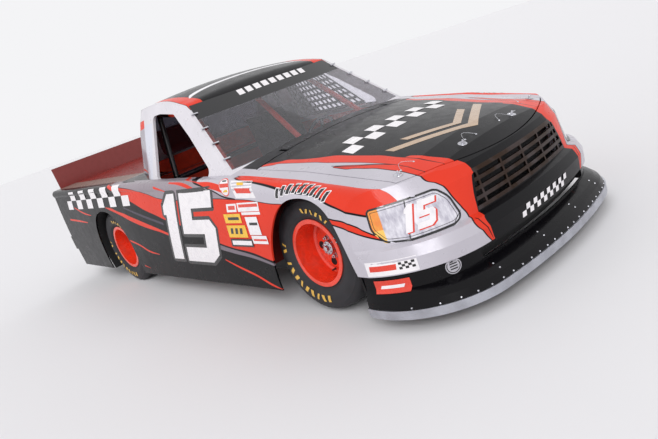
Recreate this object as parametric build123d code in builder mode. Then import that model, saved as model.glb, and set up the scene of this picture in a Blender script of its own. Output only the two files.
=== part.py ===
from build123d import *
import os
from math import asin, cos, radians, sin, sqrt

os.makedirs("parts", exist_ok=True)

# Race truck with a tube frame and a sheet metal body. Millimetres, X forward, Y left, Z up, ground at Z = 0.

# Overall sizes
nose_x = 2604
tail_x = -nose_x
wheelbase = 2845
front_axle_x = 1540
rear_axle_x = front_axle_x - wheelbase
wall = 14
fit_gap = 0.3
moving_gap = 6

# Tyres and wheels
tyre_r = 355.5
tyre_half = 150
tread_half = 122
shoulder_r = 34
bead_r = 190.5
flange_r = 209
rim_half = 130
rim_wall = 7
dish_depth = 140
disc_thick = 9
track_half = 770
front_camber = 5
vent_count = 5
vent_pcd_r = 108
vent_r = 17
hub_r = 52
cap_r = 37
cap_length = 46
spindle_r = 30

# Body side section, the same along the truck
sill_z = 140
side_tuck = 14
side_mid_z = 520
side_half = 985
# Wheel arch outlines from the rear foot over the top to the front foot: distance ahead of the axle, z
arch_points = [
    (-370, 140),
    (-306, 430),
    (-200, 600),
    (-60, 718),
    (120, 748),
    (270, 690),
    (350, 540),
    (402, 280),
]
rear_arch_points = [
    (-400, 140),
    (-392, 400),
    (-330, 580),
    (-180, 718),
    (0, 752),
    (180, 718),
    (330, 580),
    (392, 400),
]

# Front, middle and rear of the body sides
front_seam_x = 1960
cowl_x = 915
door_front_x = 1120
cab_back_x = -690
bed_front_x = cab_back_x - 26
tail_panel_x = tail_x + 56

# Cab above the belt line
belt_cut_z = 700
pillar_foot_half = 884
pillar_foot_z = 926
screen_bulge = 95
header_x = 378
header_half = 706
header_z = 1395
header_bulge = 60
cab_back_half = 915
roof_back_x = -430
roof_back_half = 700
roof_front_z = 1432
roof_top_z = 1520
roof_back_z = 1508
roof_edge_drop = 36
glass_thick = 5

# Nose
nose_arc_r = 3266
nose_bend_y = 590
lip_end_half = 1012
nose_end_half = 995
dam_z = 70
lip_height = 50
lip_thick = 8
bumper_z = 290
crease_z = 425
fascia_z = 440

# Hood
hood_half_back = 796
hood_half_front = 762
hood_front_inset = 222
hood_corner_run = 200
hood_hinge_y = 520
hinge_pin_r = 6
hinge_eye_r = 13
cowl_seam = 9

# Cab openings
cab_foot_z = 880
screen_cut_x = 250
screen_low_half = 852
screen_low_z = 930
screen_high_half = 678
screen_high_z = 1392
back_low_half = 660
back_low_z = 1050
back_high_half = 560
back_high_z = 1430
side_window_points = [(-88, 948), (742, 905), (425, 1195), (200, 1372), (-20, 1404), (-158, 1404)]

# Rear
deck_half = 880
tailgate_thick = 22
tailgate_foot_z = 480
spoiler_half = 856
spoiler_foot_x = tail_panel_x + 30
spoiler_foot_z = 930
spoiler_top_z = 1228
spoiler_lean = 40
spoiler_thick = 8
rear_bumper_z = 330

# Frame and cage
rail_y = 660
rail_w = 75
rail_z = 140
rail_h = 95
clip_y = 385
clip_w = 60
tube_r = 22
joint_r = 24
floor_thick = 6
tunnel_half = 170
tunnel_z = 460

floor_z = rail_z + rail_h
cut_reach = 1.004

# Body outline by station: x, half width, shoulder z, top edge half width, top edge z, crown z
skin_stations = [
    (tail_x, 950, 935, 918, 1004, 1014),
    (cab_back_x - 45, side_half, 915, 944, 980, 992),
    (cowl_x, side_half, 838, 906, 906, 970),
    (front_axle_x, side_half + 6, 762, 880, 826, 896),
    (2150, side_half + 2, 640, 830, 716, 790),
    (2290, side_half, 600, 815, 676, 744),
    (nose_x + 48, side_half - 6, 420, 760, 480, 520),
]


def skin_section(half, shoulder_z, edge_half, edge_z, crown_z, inset, foot_z):
    # Closed cross-section of the body, moved in by the inset.
    foot = half - side_tuck - inset
    mid = half - inset
    shoulder = (half - side_tuck * 0.9 - inset, shoulder_z - inset * 0.5)
    edge = (edge_half - inset * 0.7, edge_z - inset)
    crown = (0, crown_z - inset)
    knee = ((shoulder[0] * 0.62 + edge[0] * 0.38) + 14, (shoulder[1] * 0.38 + edge[1] * 0.62) + 6)
    with BuildLine() as outline:
        Line((-foot, foot_z), (foot, foot_z))
        ThreePointArc((foot, foot_z), (mid, side_mid_z), shoulder)
        ThreePointArc(shoulder, knee, edge)
        ThreePointArc(edge, crown, (-edge[0], edge[1]))
        ThreePointArc((-edge[0], edge[1]), (-knee[0], knee[1]), (-shoulder[0], shoulder[1]))
        ThreePointArc((-shoulder[0], shoulder[1]), (-mid, side_mid_z), (-foot, foot_z))
    make_face(outline.edges())


def skin_at(x):
    # Section sizes of the body at any x, between the two nearest stations.
    for back, front in zip(skin_stations, skin_stations[1:]):
        if back[0] <= x <= front[0]:
            share = (x - back[0]) / (front[0] - back[0])
            return [a + (b - a) * share for a, b in zip(back[1:], front[1:])]
    raise ValueError("x lies outside the body")


def surface_z(x, y):
    # Height of the body's upper surface, which is one arc across the truck.
    half, shoulder_z, edge_half, edge_z, crown_z = skin_at(x)
    rise = crown_z - edge_z
    arc_r = (edge_half**2 + rise**2) / (2 * rise)
    return crown_z - arc_r + sqrt(arc_r**2 - y**2)


def nose_outline(inset, bend_y, end_half, thickness=0):
    # Plan outline of the nose: a wide front arc, then one arc round each corner to the seam.
    arc_r = nose_arc_r - inset - thickness
    start = asin(bend_y / nose_arc_r)
    centre_x = nose_x - nose_arc_r
    bend = (centre_x + arc_r * cos(start), arc_r * sin(start))
    end = (front_seam_x - min(thickness, 1), end_half - thickness)
    heading = (-sin(start), cos(start))
    with BuildLine() as outline:
        ThreePointArc((bend[0], -bend[1]), (centre_x + arc_r, 0), bend)
        TangentArc(bend, end, tangent=heading)
        Line(end, (end[0], -end[1]))
        TangentArc((bend[0], -bend[1]), (end[0], -end[1]), tangent=(heading[0], -heading[1]))
    make_face(outline.edges())


def cab_outline(front_x, front_half, bulge, back_x, back_half, inset):
    # Plan outline of the cab at one height, with its bowed windscreen side in front.
    front = front_x - inset
    half = front_half - inset
    back = back_x + inset
    rear_half = back_half - inset
    with BuildLine() as outline:
        ThreePointArc((front, -half), (front + bulge, 0), (front, half))
        Line((front, half), (back, rear_half))
        Line((back, rear_half), (back, -rear_half))
        Line((back, -rear_half), (front, -half))
    make_face(outline.edges())


# Outer and inner skins of the lower body
with BuildPart() as skin_outer:
    for x, half, shoulder_z, edge_half, edge_z, crown_z in skin_stations:
        with BuildSketch(Plane.YZ.offset(x)):
            skin_section(half, shoulder_z, edge_half, edge_z, crown_z, 0, sill_z)
    loft(ruled=True)

with BuildPart() as skin_inner:
    for x, half, shoulder_z, edge_half, edge_z, crown_z in skin_stations:
        with BuildSketch(Plane.YZ.offset(x * cut_reach)):
            skin_section(half, shoulder_z, edge_half, edge_z, crown_z, wall, sill_z - 60)
    loft(ruled=True)

# Outer and inner shapes of the nose, by height: z, inset in front, half width where the corner starts
nose_levels = [
    (bumper_z, 100, 560),
    (bumper_z + 4, 88, 560),
    (370, 86, 560),
    (crease_z, 112, 540),
    (fascia_z, 152, 500),
    (630, 176, 400),
    (830, 320, 400),
]

with BuildPart() as nose_outer:
    for z, inset, bend_y in nose_levels:
        with BuildSketch(Plane.XY.offset(z)):
            nose_outline(inset, bend_y, nose_end_half)
    loft(ruled=True)

with BuildPart() as nose_inner:
    for z, inset, bend_y in nose_levels:
        reach = z + (z - crease_z) * (cut_reach - 1)
        with BuildSketch(Plane.XY.offset(reach)):
            nose_outline(inset, bend_y, nose_end_half, wall)
    loft(ruled=True)


def cab_level(z, inset):
    # Corner sizes of the cab outline, run up or down its slopes to one height.
    share = (z - pillar_foot_z) / (header_z - pillar_foot_z)
    front_x = cowl_x + (header_x - cowl_x) * share
    front_half = pillar_foot_half + (header_half - pillar_foot_half) * share
    bulge = screen_bulge + (header_bulge - screen_bulge) * share
    back_x = cab_back_x + (roof_back_x - cab_back_x) * share
    back_half = cab_back_half + (roof_back_half - cab_back_half) * share
    cab_outline(front_x, front_half, bulge, back_x, back_half, inset)


with BuildPart() as cab_outer:
    for z in (belt_cut_z, roof_top_z + 20):
        with BuildSketch(Plane.XY.offset(z)):
            cab_level(z, 0)
    loft(ruled=True)

with BuildPart() as cab_inner:
    for z in (belt_cut_z - 1, roof_top_z + 21):
        with BuildSketch(Plane.XY.offset(z)):
            cab_level(z, wall + 8)
    loft(ruled=True)

# Space under the roof, by station: x, z at the middle
roof_stations = [
    (header_x + 1000, roof_front_z - 340),
    (header_x + 120, roof_front_z - 30),
    (-80, roof_top_z),
    (roof_back_x - 60, roof_back_z),
    (roof_back_x - 560, roof_back_z - 90),
]


def roof_section(top_z, inset):
    # Everything below the roof's crown at one station.
    with BuildLine() as outline:
        Line((-900, 400), (900, 400))
        Line((900, 400), (900, top_z - roof_edge_drop * 1.9 - inset))
        ThreePointArc(
            (900, top_z - roof_edge_drop * 1.9 - inset),
            (0, top_z - inset),
            (-900, top_z - roof_edge_drop * 1.9 - inset),
        )
        Line((-900, top_z - roof_edge_drop * 1.9 - inset), (-900, 400))
    make_face(outline.edges())


with BuildPart() as roof_outer:
    for x, top_z in roof_stations:
        with BuildSketch(Plane.YZ.offset(x)):
            roof_section(top_z, 0)
    loft()

with BuildPart() as roof_inner:
    for x, top_z in roof_stations:
        with BuildSketch(Plane.YZ.offset(x)):
            roof_section(top_z, wall)
    loft()


def keep_box(x0, x1, y0, y1, z0, z1):
    # A block between two corners, which a panel keeps or loses.
    corner = (Align.MIN, Align.MIN, Align.MIN)
    block = Box(x1 - x0, y1 - y0, z1 - z0, align=corner, mode=Mode.PRIVATE)
    return block.moved(Location((x0, y0, z0)))


# Reach of a cutter that has to pass right through the truck
far = 1100

# Hood footprint in plan, wider at the cowl than at the nose
hood_back_x = cowl_x + screen_bulge + 90
hood_seam = moving_gap / 2


def hood_outline(grow):
    # Plan outline of the hood, grown or shrunk all round.
    front_x = nose_x - hood_front_inset + grow
    corner_x = front_x - hood_corner_run
    with BuildLine() as outline:
        Line((hood_back_x - grow, -hood_half_back - grow), (corner_x, -hood_half_front - grow))
        ThreePointArc(
            (corner_x, -hood_half_front - grow), (front_x, 0), (corner_x, hood_half_front + grow)
        )
        Line((corner_x, hood_half_front + grow), (hood_back_x - grow, hood_half_back + grow))
        Line((hood_back_x - grow, hood_half_back + grow), (hood_back_x - grow, -hood_half_back - grow))
    make_face(outline.edges())


with BuildPart() as hood_hole:
    with BuildSketch(Plane.XY.offset(belt_cut_z - 50)):
        hood_outline(hood_seam)
    extrude(amount=400)

with BuildPart() as hood_blank:
    with BuildSketch(Plane.XY.offset(belt_cut_z - 50 + moving_gap)):
        hood_outline(-hood_seam)
    extrude(amount=400)


# Headlamp outline on a plane that faces the nose corner
lamp_turn = 50
lamp_centre = (2250, 780, 546)
lamp_back = 200
lamp_corner_r = 22
lamp_points = [
    (-226, 96),
    (137, 94),
    (194, 34),
    (230, -79),
    (198, -110),
    (-49, -110),
    (-172, -90),
    (-228, -17),
]


def lamp_plane(side):
    # The plane of one headlamp: it faces outwards from the nose corner, its Y runs up.
    turn = radians(lamp_turn)
    return Plane(
        origin=(
            lamp_centre[0] - lamp_back * cos(turn),
            side * (lamp_centre[1] - lamp_back * sin(turn)),
            lamp_centre[2],
        ),
        x_dir=(-side * sin(turn), cos(turn), 0),
        z_dir=(cos(turn), side * sin(turn), 0),
    )


with BuildPart() as lamp_cutters:
    for side in (1, -1):
        with BuildSketch(lamp_plane(side)) as lamp_sketch:
            with BuildLine() as outline:
                Polyline([(-side * x, y) for x, y in lamp_points], close=True)
            make_face()
            fillet(lamp_sketch.vertices(), lamp_corner_r)
        extrude(amount=2 * lamp_back)

# Grille opening in the middle of the nose
grille_half = 485
grille_low = 444
grille_high = 648
grille_taper = 72
grille_end = 412

with BuildPart() as grille_hole:
    with BuildSketch(Plane.YZ.offset(nose_x - 420)):
        with Locations((0, (grille_low + grille_high) / 2)):
            Trapezoid(grille_half * 2, grille_high - grille_low, grille_taper)
    extrude(amount=500)

# Shell in front of the front wheels
with BuildPart() as front_core:
    add(nose_inner.part)
    add(skin_inner.part, mode=Mode.INTERSECT)

with BuildPart() as front_shell:
    add(nose_outer.part)
    add(skin_outer.part, mode=Mode.INTERSECT)
    add(front_core.part, mode=Mode.SUBTRACT)

with BuildPart() as nose_fascia:
    add(front_shell.part)
    add(keep_box(front_seam_x, nose_x, -far, far, bumper_z, far), mode=Mode.INTERSECT)
    add(hood_hole.part, mode=Mode.SUBTRACT)
    add(grille_hole.part, mode=Mode.SUBTRACT)
    add(lamp_cutters.part, mode=Mode.SUBTRACT)

with BuildPart() as headlamps:
    add(front_shell.part)
    add(lamp_cutters.part, mode=Mode.INTERSECT)

lamp_solids = headlamps.part.solids().sort_by(Axis.Y)
with BuildPart() as headlamp_right:
    add(lamp_solids[0])
with BuildPart() as headlamp_left:
    add(lamp_solids[-1])

# Grille: bars across the opening on upright posts
bar_count = 5
bar_height = 20
post_count = 5
post_w = 14
bar_pitch = (grille_high - grille_low - bar_height) / (bar_count - 1)
post_pitch = (2 * grille_end - post_w) / (post_count - 1)

with BuildPart() as grille_lattice:
    with BuildSketch(Plane.YZ.offset(front_seam_x)):
        with Locations((0, (grille_low + grille_high) / 2)):
            with GridLocations(0, bar_pitch, 1, bar_count):
                Rectangle(2 * far, bar_height)
            with GridLocations(post_pitch, 0, post_count, 1):
                Rectangle(post_w, far)
    extrude(amount=far)

with BuildPart() as grille:
    add(front_shell.part)
    add(grille_hole.part, mode=Mode.INTERSECT)
    add(grille_lattice.part, mode=Mode.INTERSECT)

# Air dam under the bumper with its slot, and the metal lip along its foot
dam_wall = 8
slot_z = 246
slot_height = 44
slot_half = 580

# Air dam by height: z, inset in front, half width at the seam
dam_levels = [
    (dam_z, lip_thick, lip_end_half - lip_thick),
    (dam_z + lip_height, lip_thick, lip_end_half - lip_thick),
    (158, 26, 1000),
    (184, 62, 990),
    (208, 116, 980),
    (bumper_z, 112, 980),
]

with BuildPart() as dam_core:
    for z, inset, end_half in dam_levels:
        with BuildSketch(Plane.XY.offset(z)):
            nose_outline(inset, nose_bend_y, end_half, dam_wall)
    loft(ruled=True)

with BuildPart() as air_dam:
    for z, inset, end_half in dam_levels:
        with BuildSketch(Plane.XY.offset(z)):
            nose_outline(inset, nose_bend_y, end_half)
    loft(ruled=True)
    add(dam_core.part, mode=Mode.SUBTRACT)
    with BuildSketch(Plane.YZ.offset(nose_x - 300)):
        with Locations((0, slot_z)):
            SlotOverall(2 * slot_half, slot_height)
    extrude(amount=400, mode=Mode.SUBTRACT)

with BuildPart() as splitter_lip:
    with BuildSketch(Plane.XY.offset(dam_z)):
        nose_outline(0, nose_bend_y, lip_end_half)
    extrude(amount=lip_height)
    with BuildSketch(Plane.XY.offset(dam_z)):
        nose_outline(0, nose_bend_y, lip_end_half, lip_thick)
    extrude(amount=lip_height, mode=Mode.SUBTRACT)

# Shell of the body behind the nose
with BuildPart() as body_shell:
    add(skin_outer.part)
    add(skin_inner.part, mode=Mode.SUBTRACT)

with BuildPart() as wheel_arches:
    for x, points in ((front_axle_x, arch_points), (rear_axle_x, rear_arch_points)):
        outline_points = [(x + ahead, z) for ahead, z in points]
        with BuildSketch(Plane.XZ.offset(-far)):
            with BuildLine():
                Spline(outline_points)
                Polyline(
                    outline_points[-1],
                    (outline_points[-1][0], 0),
                    (outline_points[0][0], 0),
                    outline_points[0],
                )
            make_face()
        extrude(amount=2 * far)

hinge_x = hood_back_x - 57
hinge_z = surface_z(hinge_x, hood_hinge_y) - wall - hinge_eye_r - 3
leaf_front_x = hood_back_x + 44
leaf_step_x = hood_back_x + 8
leaf_low_z = hinge_z - 9
leaf_high_z = hinge_z + 6
ear_half = 12
lug_w = 7
lug_gap = 1

with BuildPart() as hood:
    add(body_shell.part)
    add(hood_blank.part, mode=Mode.INTERSECT)
    for y in (-hood_hinge_y, hood_hinge_y):
        with BuildSketch(Plane.XZ.offset(-y - ear_half)):
            with BuildLine():
                Polyline(
                    (hinge_x, leaf_low_z),
                    (leaf_front_x, leaf_low_z),
                    (leaf_front_x, surface_z(leaf_front_x, y) - wall / 2),
                    (leaf_step_x, surface_z(leaf_step_x, y) - wall / 2),
                    (leaf_step_x, leaf_high_z),
                    (hinge_x, leaf_high_z),
                    close=True,
                )
            make_face()
            with Locations((hinge_x, hinge_z)):
                Circle(hinge_eye_r)
                Circle(hinge_pin_r + fit_gap, mode=Mode.SUBTRACT)
        extrude(amount=2 * ear_half)


def side_box(side, back_x, front_x, from_y):
    # The space outboard of a plane on one side of the truck.
    low_y, high_y = sorted((side * from_y, side * far))
    return keep_box(back_x, front_x, low_y, high_y, 0, far)


# Space that the cab takes above its foot
with BuildPart() as cab_space:
    add(cab_outer.part)
    add(keep_box(-far, 2 * far, -far, far, cab_foot_z, 2 * far), mode=Mode.INTERSECT)

side_pieces = {}
for side, word in ((1, "left"), (-1, "right")):
    with BuildPart() as fender:
        add(body_shell.part)
        add(side_box(side, door_front_x, front_seam_x, 0), mode=Mode.INTERSECT)
        add(hood_hole.part, mode=Mode.SUBTRACT)
        add(wheel_arches.part, mode=Mode.SUBTRACT)
    side_pieces["fender_" + word] = fender.part

    with BuildPart() as door:
        add(body_shell.part)
        add(side_box(side, bed_front_x, door_front_x, hood_half_back), mode=Mode.INTERSECT)
        add(hood_hole.part, mode=Mode.SUBTRACT)
        add(cab_space.part, mode=Mode.SUBTRACT)
    side_pieces["door_" + word] = door.part

    with BuildPart() as bed_side:
        add(body_shell.part)
        add(side_box(side, tail_panel_x, bed_front_x, deck_half), mode=Mode.INTERSECT)
        add(wheel_arches.part, mode=Mode.SUBTRACT)
    side_pieces["bed_side_" + word] = bed_side.part

with BuildPart() as cowl:
    add(body_shell.part)
    add(
        keep_box(cowl_x - 60, hood_back_x - cowl_seam, -hood_half_back, hood_half_back, 0, far),
        mode=Mode.INTERSECT,
    )
    add(cab_space.part, mode=Mode.SUBTRACT)
    for y in (-hood_hinge_y, hood_hinge_y):
        slot_half_y = ear_half + lug_gap
        add(
            keep_box(hinge_x - 20, hood_back_x + 20, y - slot_half_y, y + slot_half_y, 800, far),
            mode=Mode.SUBTRACT,
        )
        for low in (y - slot_half_y - lug_w, y + slot_half_y):
            lug_top = surface_z(hinge_x + 24, hood_hinge_y) - wall / 2
            with BuildSketch(Plane.XZ.offset(-low - lug_w)):
                with BuildLine():
                    Polyline(
                        (hinge_x - 16, lug_top),
                        (hinge_x - 16, hinge_z - 12),
                        (hinge_x + 16, hinge_z - 12),
                        (hinge_x + 30, lug_top),
                        close=True,
                    )
                make_face()
            extrude(amount=lug_w)
        with BuildSketch(Plane.XZ.offset(-y - slot_half_y - lug_w / 2)):
            with Locations((hinge_x, hinge_z)):
                Circle(hinge_pin_r)
        extrude(amount=2 * slot_half_y + lug_w)

with BuildPart() as deck:
    add(body_shell.part)
    add(keep_box(tail_panel_x, bed_front_x, -deck_half, deck_half, 800, far), mode=Mode.INTERSECT)

with BuildPart() as tailgate:
    add(skin_outer.part)
    add(
        keep_box(tail_panel_x - tailgate_thick, tail_panel_x, -far, far, tailgate_foot_z, far),
        mode=Mode.INTERSECT,
    )

with BuildPart() as rear_bumper:
    add(skin_outer.part)
    add(keep_box(tail_x, tail_panel_x, -far, far, rear_bumper_z, tailgate_foot_z), mode=Mode.INTERSECT)

with BuildPart() as spoiler:
    with BuildSketch(Plane.XZ.offset(-spoiler_half)):
        with BuildLine():
            Polyline(
                (spoiler_foot_x, spoiler_foot_z),
                (spoiler_foot_x + spoiler_thick, spoiler_foot_z),
                (spoiler_foot_x + spoiler_thick - spoiler_lean, spoiler_top_z),
                (spoiler_foot_x - spoiler_lean, spoiler_top_z),
                close=True,
            )
        make_face()
    extrude(amount=2 * spoiler_half)
    add(skin_outer.part, mode=Mode.SUBTRACT)

# Cab: roof, pillars and back panel in one shell with its windows cut
with BuildPart() as windscreen_hole:
    with BuildSketch(Plane.YZ.offset(screen_cut_x)):
        with BuildLine():
            Polyline(
                (screen_low_half, screen_low_z),
                (screen_high_half, screen_high_z),
                (-screen_high_half, screen_high_z),
                (-screen_low_half, screen_low_z),
                close=True,
            )
        make_face()
    extrude(amount=1200)

with BuildPart() as back_window_hole:
    with BuildSketch(Plane.YZ.offset(cab_back_x - 60)) as back_sketch:
        with BuildLine():
            Polyline(
                (back_low_half, back_low_z),
                (back_high_half, back_high_z),
                (-back_high_half, back_high_z),
                (-back_low_half, back_low_z),
                close=True,
            )
        make_face()
        fillet(back_sketch.vertices(), 60)
    extrude(amount=400)

with BuildPart() as side_window_hole:
    with BuildSketch(Plane.XZ.offset(-far)) as side_sketch:
        with BuildLine():
            Polyline(side_window_points, close=True)
        make_face()
        fillet(side_sketch.vertices(), 38)
    extrude(amount=2 * far)

with BuildPart() as cab_core:
    add(cab_inner.part)
    add(roof_inner.part, mode=Mode.INTERSECT)

with BuildPart() as cab_shell:
    add(cab_outer.part)
    add(roof_outer.part, mode=Mode.INTERSECT)
    add(cab_core.part, mode=Mode.SUBTRACT)
    add(keep_box(-far * 2, far * 2, -far, far, cab_foot_z, roof_top_z + 60), mode=Mode.INTERSECT)
    add(windscreen_hole.part, mode=Mode.SUBTRACT)
    add(back_window_hole.part, mode=Mode.SUBTRACT)
    add(side_window_hole.part, mode=Mode.SUBTRACT)

with BuildPart() as glass_core:
    for z in (belt_cut_z - 1, roof_top_z + 21):
        with BuildSketch(Plane.XY.offset(z)):
            cab_level(z, glass_thick)
    loft(ruled=True)

with BuildPart() as glass_shell:
    add(cab_outer.part)
    add(glass_core.part, mode=Mode.SUBTRACT)

with BuildPart() as windshield:
    add(glass_shell.part)
    add(windscreen_hole.part, mode=Mode.INTERSECT)

with BuildPart() as rear_window:
    add(glass_shell.part)
    add(back_window_hole.part, mode=Mode.INTERSECT)


# Wheels and tyres, turned about an axle line that leans with the camber
front_lean = radians(front_camber)
crown_half = tread_half - 10
tread_drop = tyre_r * cos(front_lean) + crown_half * sin(front_lean)
wheel_places = [
    ("fl", front_axle_x, 1, front_camber, tread_drop),
    ("fr", front_axle_x, -1, front_camber, tread_drop),
    ("rl", rear_axle_x, 1, 0, tyre_r),
    ("rr", rear_axle_x, -1, 0, tyre_r),
]


def wheel_plane(x, side, camber, z):
    # Plane through a wheel's axle: local X runs outwards along the axle, local Y runs up the wheel.
    lean = radians(camber)
    out = (0, side * cos(lean), sin(lean))
    return Plane(origin=(x, side * track_half, z), x_dir=out, z_dir=(side, 0, 0))


# Half of the tyre's section from the bead over the bulge to the tread: distance out, radius
tyre_section = [
    (rim_half - rim_wall - 1, bead_r),
    (rim_half - rim_wall - 1, flange_r + 4),
    (tyre_half - 5, flange_r + 32),
    (tyre_half, flange_r + 66),
    (tread_half + 18, tyre_r - shoulder_r),
    (tread_half + 6, tyre_r - shoulder_r / 3),
    (crown_half, tyre_r),
]
disc_out = rim_half - dish_depth
wheel_parts = {}
for word, x, side, camber, z in wheel_places:
    plane = wheel_plane(x, side, camber, z)
    axle = Axis(plane.origin, plane.x_dir)
    with BuildPart() as tyre:
        with BuildSketch(plane):
            with BuildLine():
                Polyline(tyre_section + [(-out, r) for out, r in reversed(tyre_section)], close=True)
            make_face()
        revolve(axis=axle)
    wheel_parts["tyre_" + word] = tyre.part

    with BuildPart() as wheel:
        with BuildSketch(plane) as rim_sketch:
            with BuildLine():
                Polyline(
                    (rim_half, flange_r),
                    (rim_half - rim_wall, flange_r),
                    (rim_half - rim_wall, bead_r),
                    (-rim_half + rim_wall, bead_r),
                    (-rim_half + rim_wall, flange_r),
                    (-rim_half, flange_r),
                    (-rim_half, bead_r - rim_wall),
                    (disc_out - disc_thick - 18, bead_r - rim_wall),
                    (disc_out - disc_thick, vent_pcd_r + 32),
                    (disc_out - disc_thick, hub_r + 14),
                    (disc_out - disc_thick - 30, hub_r),
                    (disc_out - disc_thick - 30, spindle_r + fit_gap),
                    (disc_out + 30, spindle_r + fit_gap),
                    (disc_out + 30, 0),
                    (disc_out + cap_length, 0),
                    (disc_out + cap_length, cap_r - 9),
                    (disc_out + cap_length - 9, cap_r),
                    (disc_out + 4, cap_r),
                    (disc_out, hub_r + 14),
                    (disc_out, vent_pcd_r + 32),
                    (disc_out - 18, bead_r - rim_wall - 12),
                    (disc_out - 8, bead_r - rim_wall),
                    (rim_half, bead_r - rim_wall),
                    close=True,
                )
            make_face()
        revolve(axis=axle)
        with BuildSketch(Plane(origin=plane.origin, x_dir=(1, 0, 0), z_dir=plane.x_dir)):
            with PolarLocations(vent_pcd_r, vent_count, start_angle=36):
                Circle(vent_r)
        extrude(amount=-rim_half, mode=Mode.SUBTRACT)
    wheel_parts["wheel_" + word] = wheel.part

# Knuckles: an upright on the steering axis with the spindle that carries the front wheel
kingpin_y = 596
kingpin_low_z = 214
kingpin_high_z = 470
upright_r = 24
ball_r = 11
arm_thick = 24
arm_eye_r = 30
spindle_end = disc_out + 29

for word, x, side, camber, z in wheel_places[:2]:
    plane = wheel_plane(x, side, camber, z)
    with BuildPart() as knuckle:
        with BuildSketch(Plane.XY.offset(kingpin_low_z)):
            with Locations((x, side * kingpin_y)):
                Circle(upright_r)
        extrude(amount=kingpin_high_z - kingpin_low_z)
        with BuildSketch(Plane.XY.offset(kingpin_low_z - arm_thick)):
            with Locations((x, side * kingpin_y)):
                Circle(ball_r)
        extrude(amount=kingpin_high_z - kingpin_low_z + 2 * arm_thick)
        inner_end = -(track_half - kingpin_y) / cos(front_lean)
        spindle_base = plane.origin + plane.x_dir * inner_end
        with BuildSketch(Plane(origin=spindle_base, x_dir=(1, 0, 0), z_dir=plane.x_dir)):
            Circle(spindle_r)
        extrude(amount=spindle_end - inner_end)
    wheel_parts["knuckle_left" if side > 0 else "knuckle_right"] = knuckle.part

# Rear axle: tube, centre housing and the spindles that carry the rear wheels
axle_tube_r = 42
axle_tube_half = track_half + disc_out - disc_thick - 30 - moving_gap
centre_r = 135

with BuildPart() as rear_axle:
    with BuildSketch(Plane.XZ.offset(-axle_tube_half)):
        with Locations((rear_axle_x, tyre_r)):
            Circle(axle_tube_r)
    extrude(amount=2 * axle_tube_half)
    with BuildSketch(Plane.XZ.offset(-track_half - spindle_end)):
        with Locations((rear_axle_x, tyre_r)):
            Circle(spindle_r)
    extrude(amount=2 * (track_half + spindle_end))
    with BuildSketch(Plane.XZ.offset(-90)):
        with Locations((rear_axle_x, tyre_r)):
            Circle(centre_r)
    extrude(amount=180)
    fillet(rear_axle.part.edges().filter_by(GeomType.CIRCLE).group_by(SortBy.RADIUS)[-1], 40)
    with BuildSketch(Plane.YZ.offset(rear_axle_x)):
        with Locations((0, tyre_r)):
            Circle(62)
    extrude(amount=centre_r + 60)

# Frame: side rails, front and rear clips and the crossmembers between them
rail_front_x = 1010
rail_back_x = -900
clip_front_x = 2300
clip_h = 80
clip_back_x = -2440
kick_up = 470
kick_half = 330
cross_w = 60
bumper_bar_half = 560

front_profile = [
    (rail_front_x - 60, rail_z),
    (clip_front_x, rail_z),
    (clip_front_x, rail_z + clip_h),
    (rail_front_x - 60, rail_z + clip_h),
]
rear_profile = [
    (rail_back_x + 60, rail_z),
    (rail_back_x - 40, rail_z),
    (rear_axle_x + 160, kick_up),
    (rear_axle_x - 160, kick_up),
    (rear_axle_x - kick_half, kick_up - 160),
    (clip_back_x, kick_up - 160),
    (clip_back_x, kick_up - 160 + clip_h),
    (rear_axle_x - kick_half, kick_up - 160 + clip_h),
    (rear_axle_x - 160, kick_up + clip_h),
    (rear_axle_x + 160, kick_up + clip_h),
    (rail_back_x - 40 - clip_h * 0.6, rail_z + rail_h),
    (rail_back_x + 60, rail_z + rail_h),
]
rear_clip_y = 440

with BuildPart() as frame:
    for side in (1, -1):
        for profile, y, width in (
            (front_profile, clip_y, clip_w),
            (rear_profile, rear_clip_y, clip_w),
        ):
            with BuildSketch(Plane.XZ.offset(-side * y - width / 2)):
                with BuildLine():
                    Polyline(profile, close=True)
                make_face()
            extrude(amount=width)
        with BuildSketch(Plane.XY.offset(rail_z)):
            with Locations(((rail_front_x + rail_back_x) / 2, side * rail_y)):
                Rectangle(rail_front_x - rail_back_x, rail_w)
        extrude(amount=rail_h)
    for x, half, z, height in (
        (rail_front_x - 30, rail_y, rail_z, clip_h),
        (rail_back_x + 30, rail_y, rail_z, rail_h),
        (front_axle_x - 300, clip_y, rail_z, clip_h),
        (front_axle_x + 260, clip_y, rail_z, clip_h),
        (clip_front_x - 30, bumper_bar_half, rail_z, clip_h),
        (rear_axle_x - kick_half - 40, rear_clip_y, kick_up - 160, clip_h),
        (clip_back_x + 30, bumper_bar_half, kick_up - 160, clip_h),
    ):
        with BuildSketch(Plane.XY.offset(z)):
            with Locations((x, 0)):
                Rectangle(cross_w, 2 * half)
        extrude(amount=height)
    for side in (1, -1):
        for x in (front_axle_x - 120, front_axle_x + 120):
            with BuildSketch(Plane.XY.offset(rail_z + clip_h)):
                with Locations((x, side * clip_y)):
                    Rectangle(50, clip_w)
            extrude(amount=kingpin_high_z + arm_thick - rail_z - clip_h)

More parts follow.
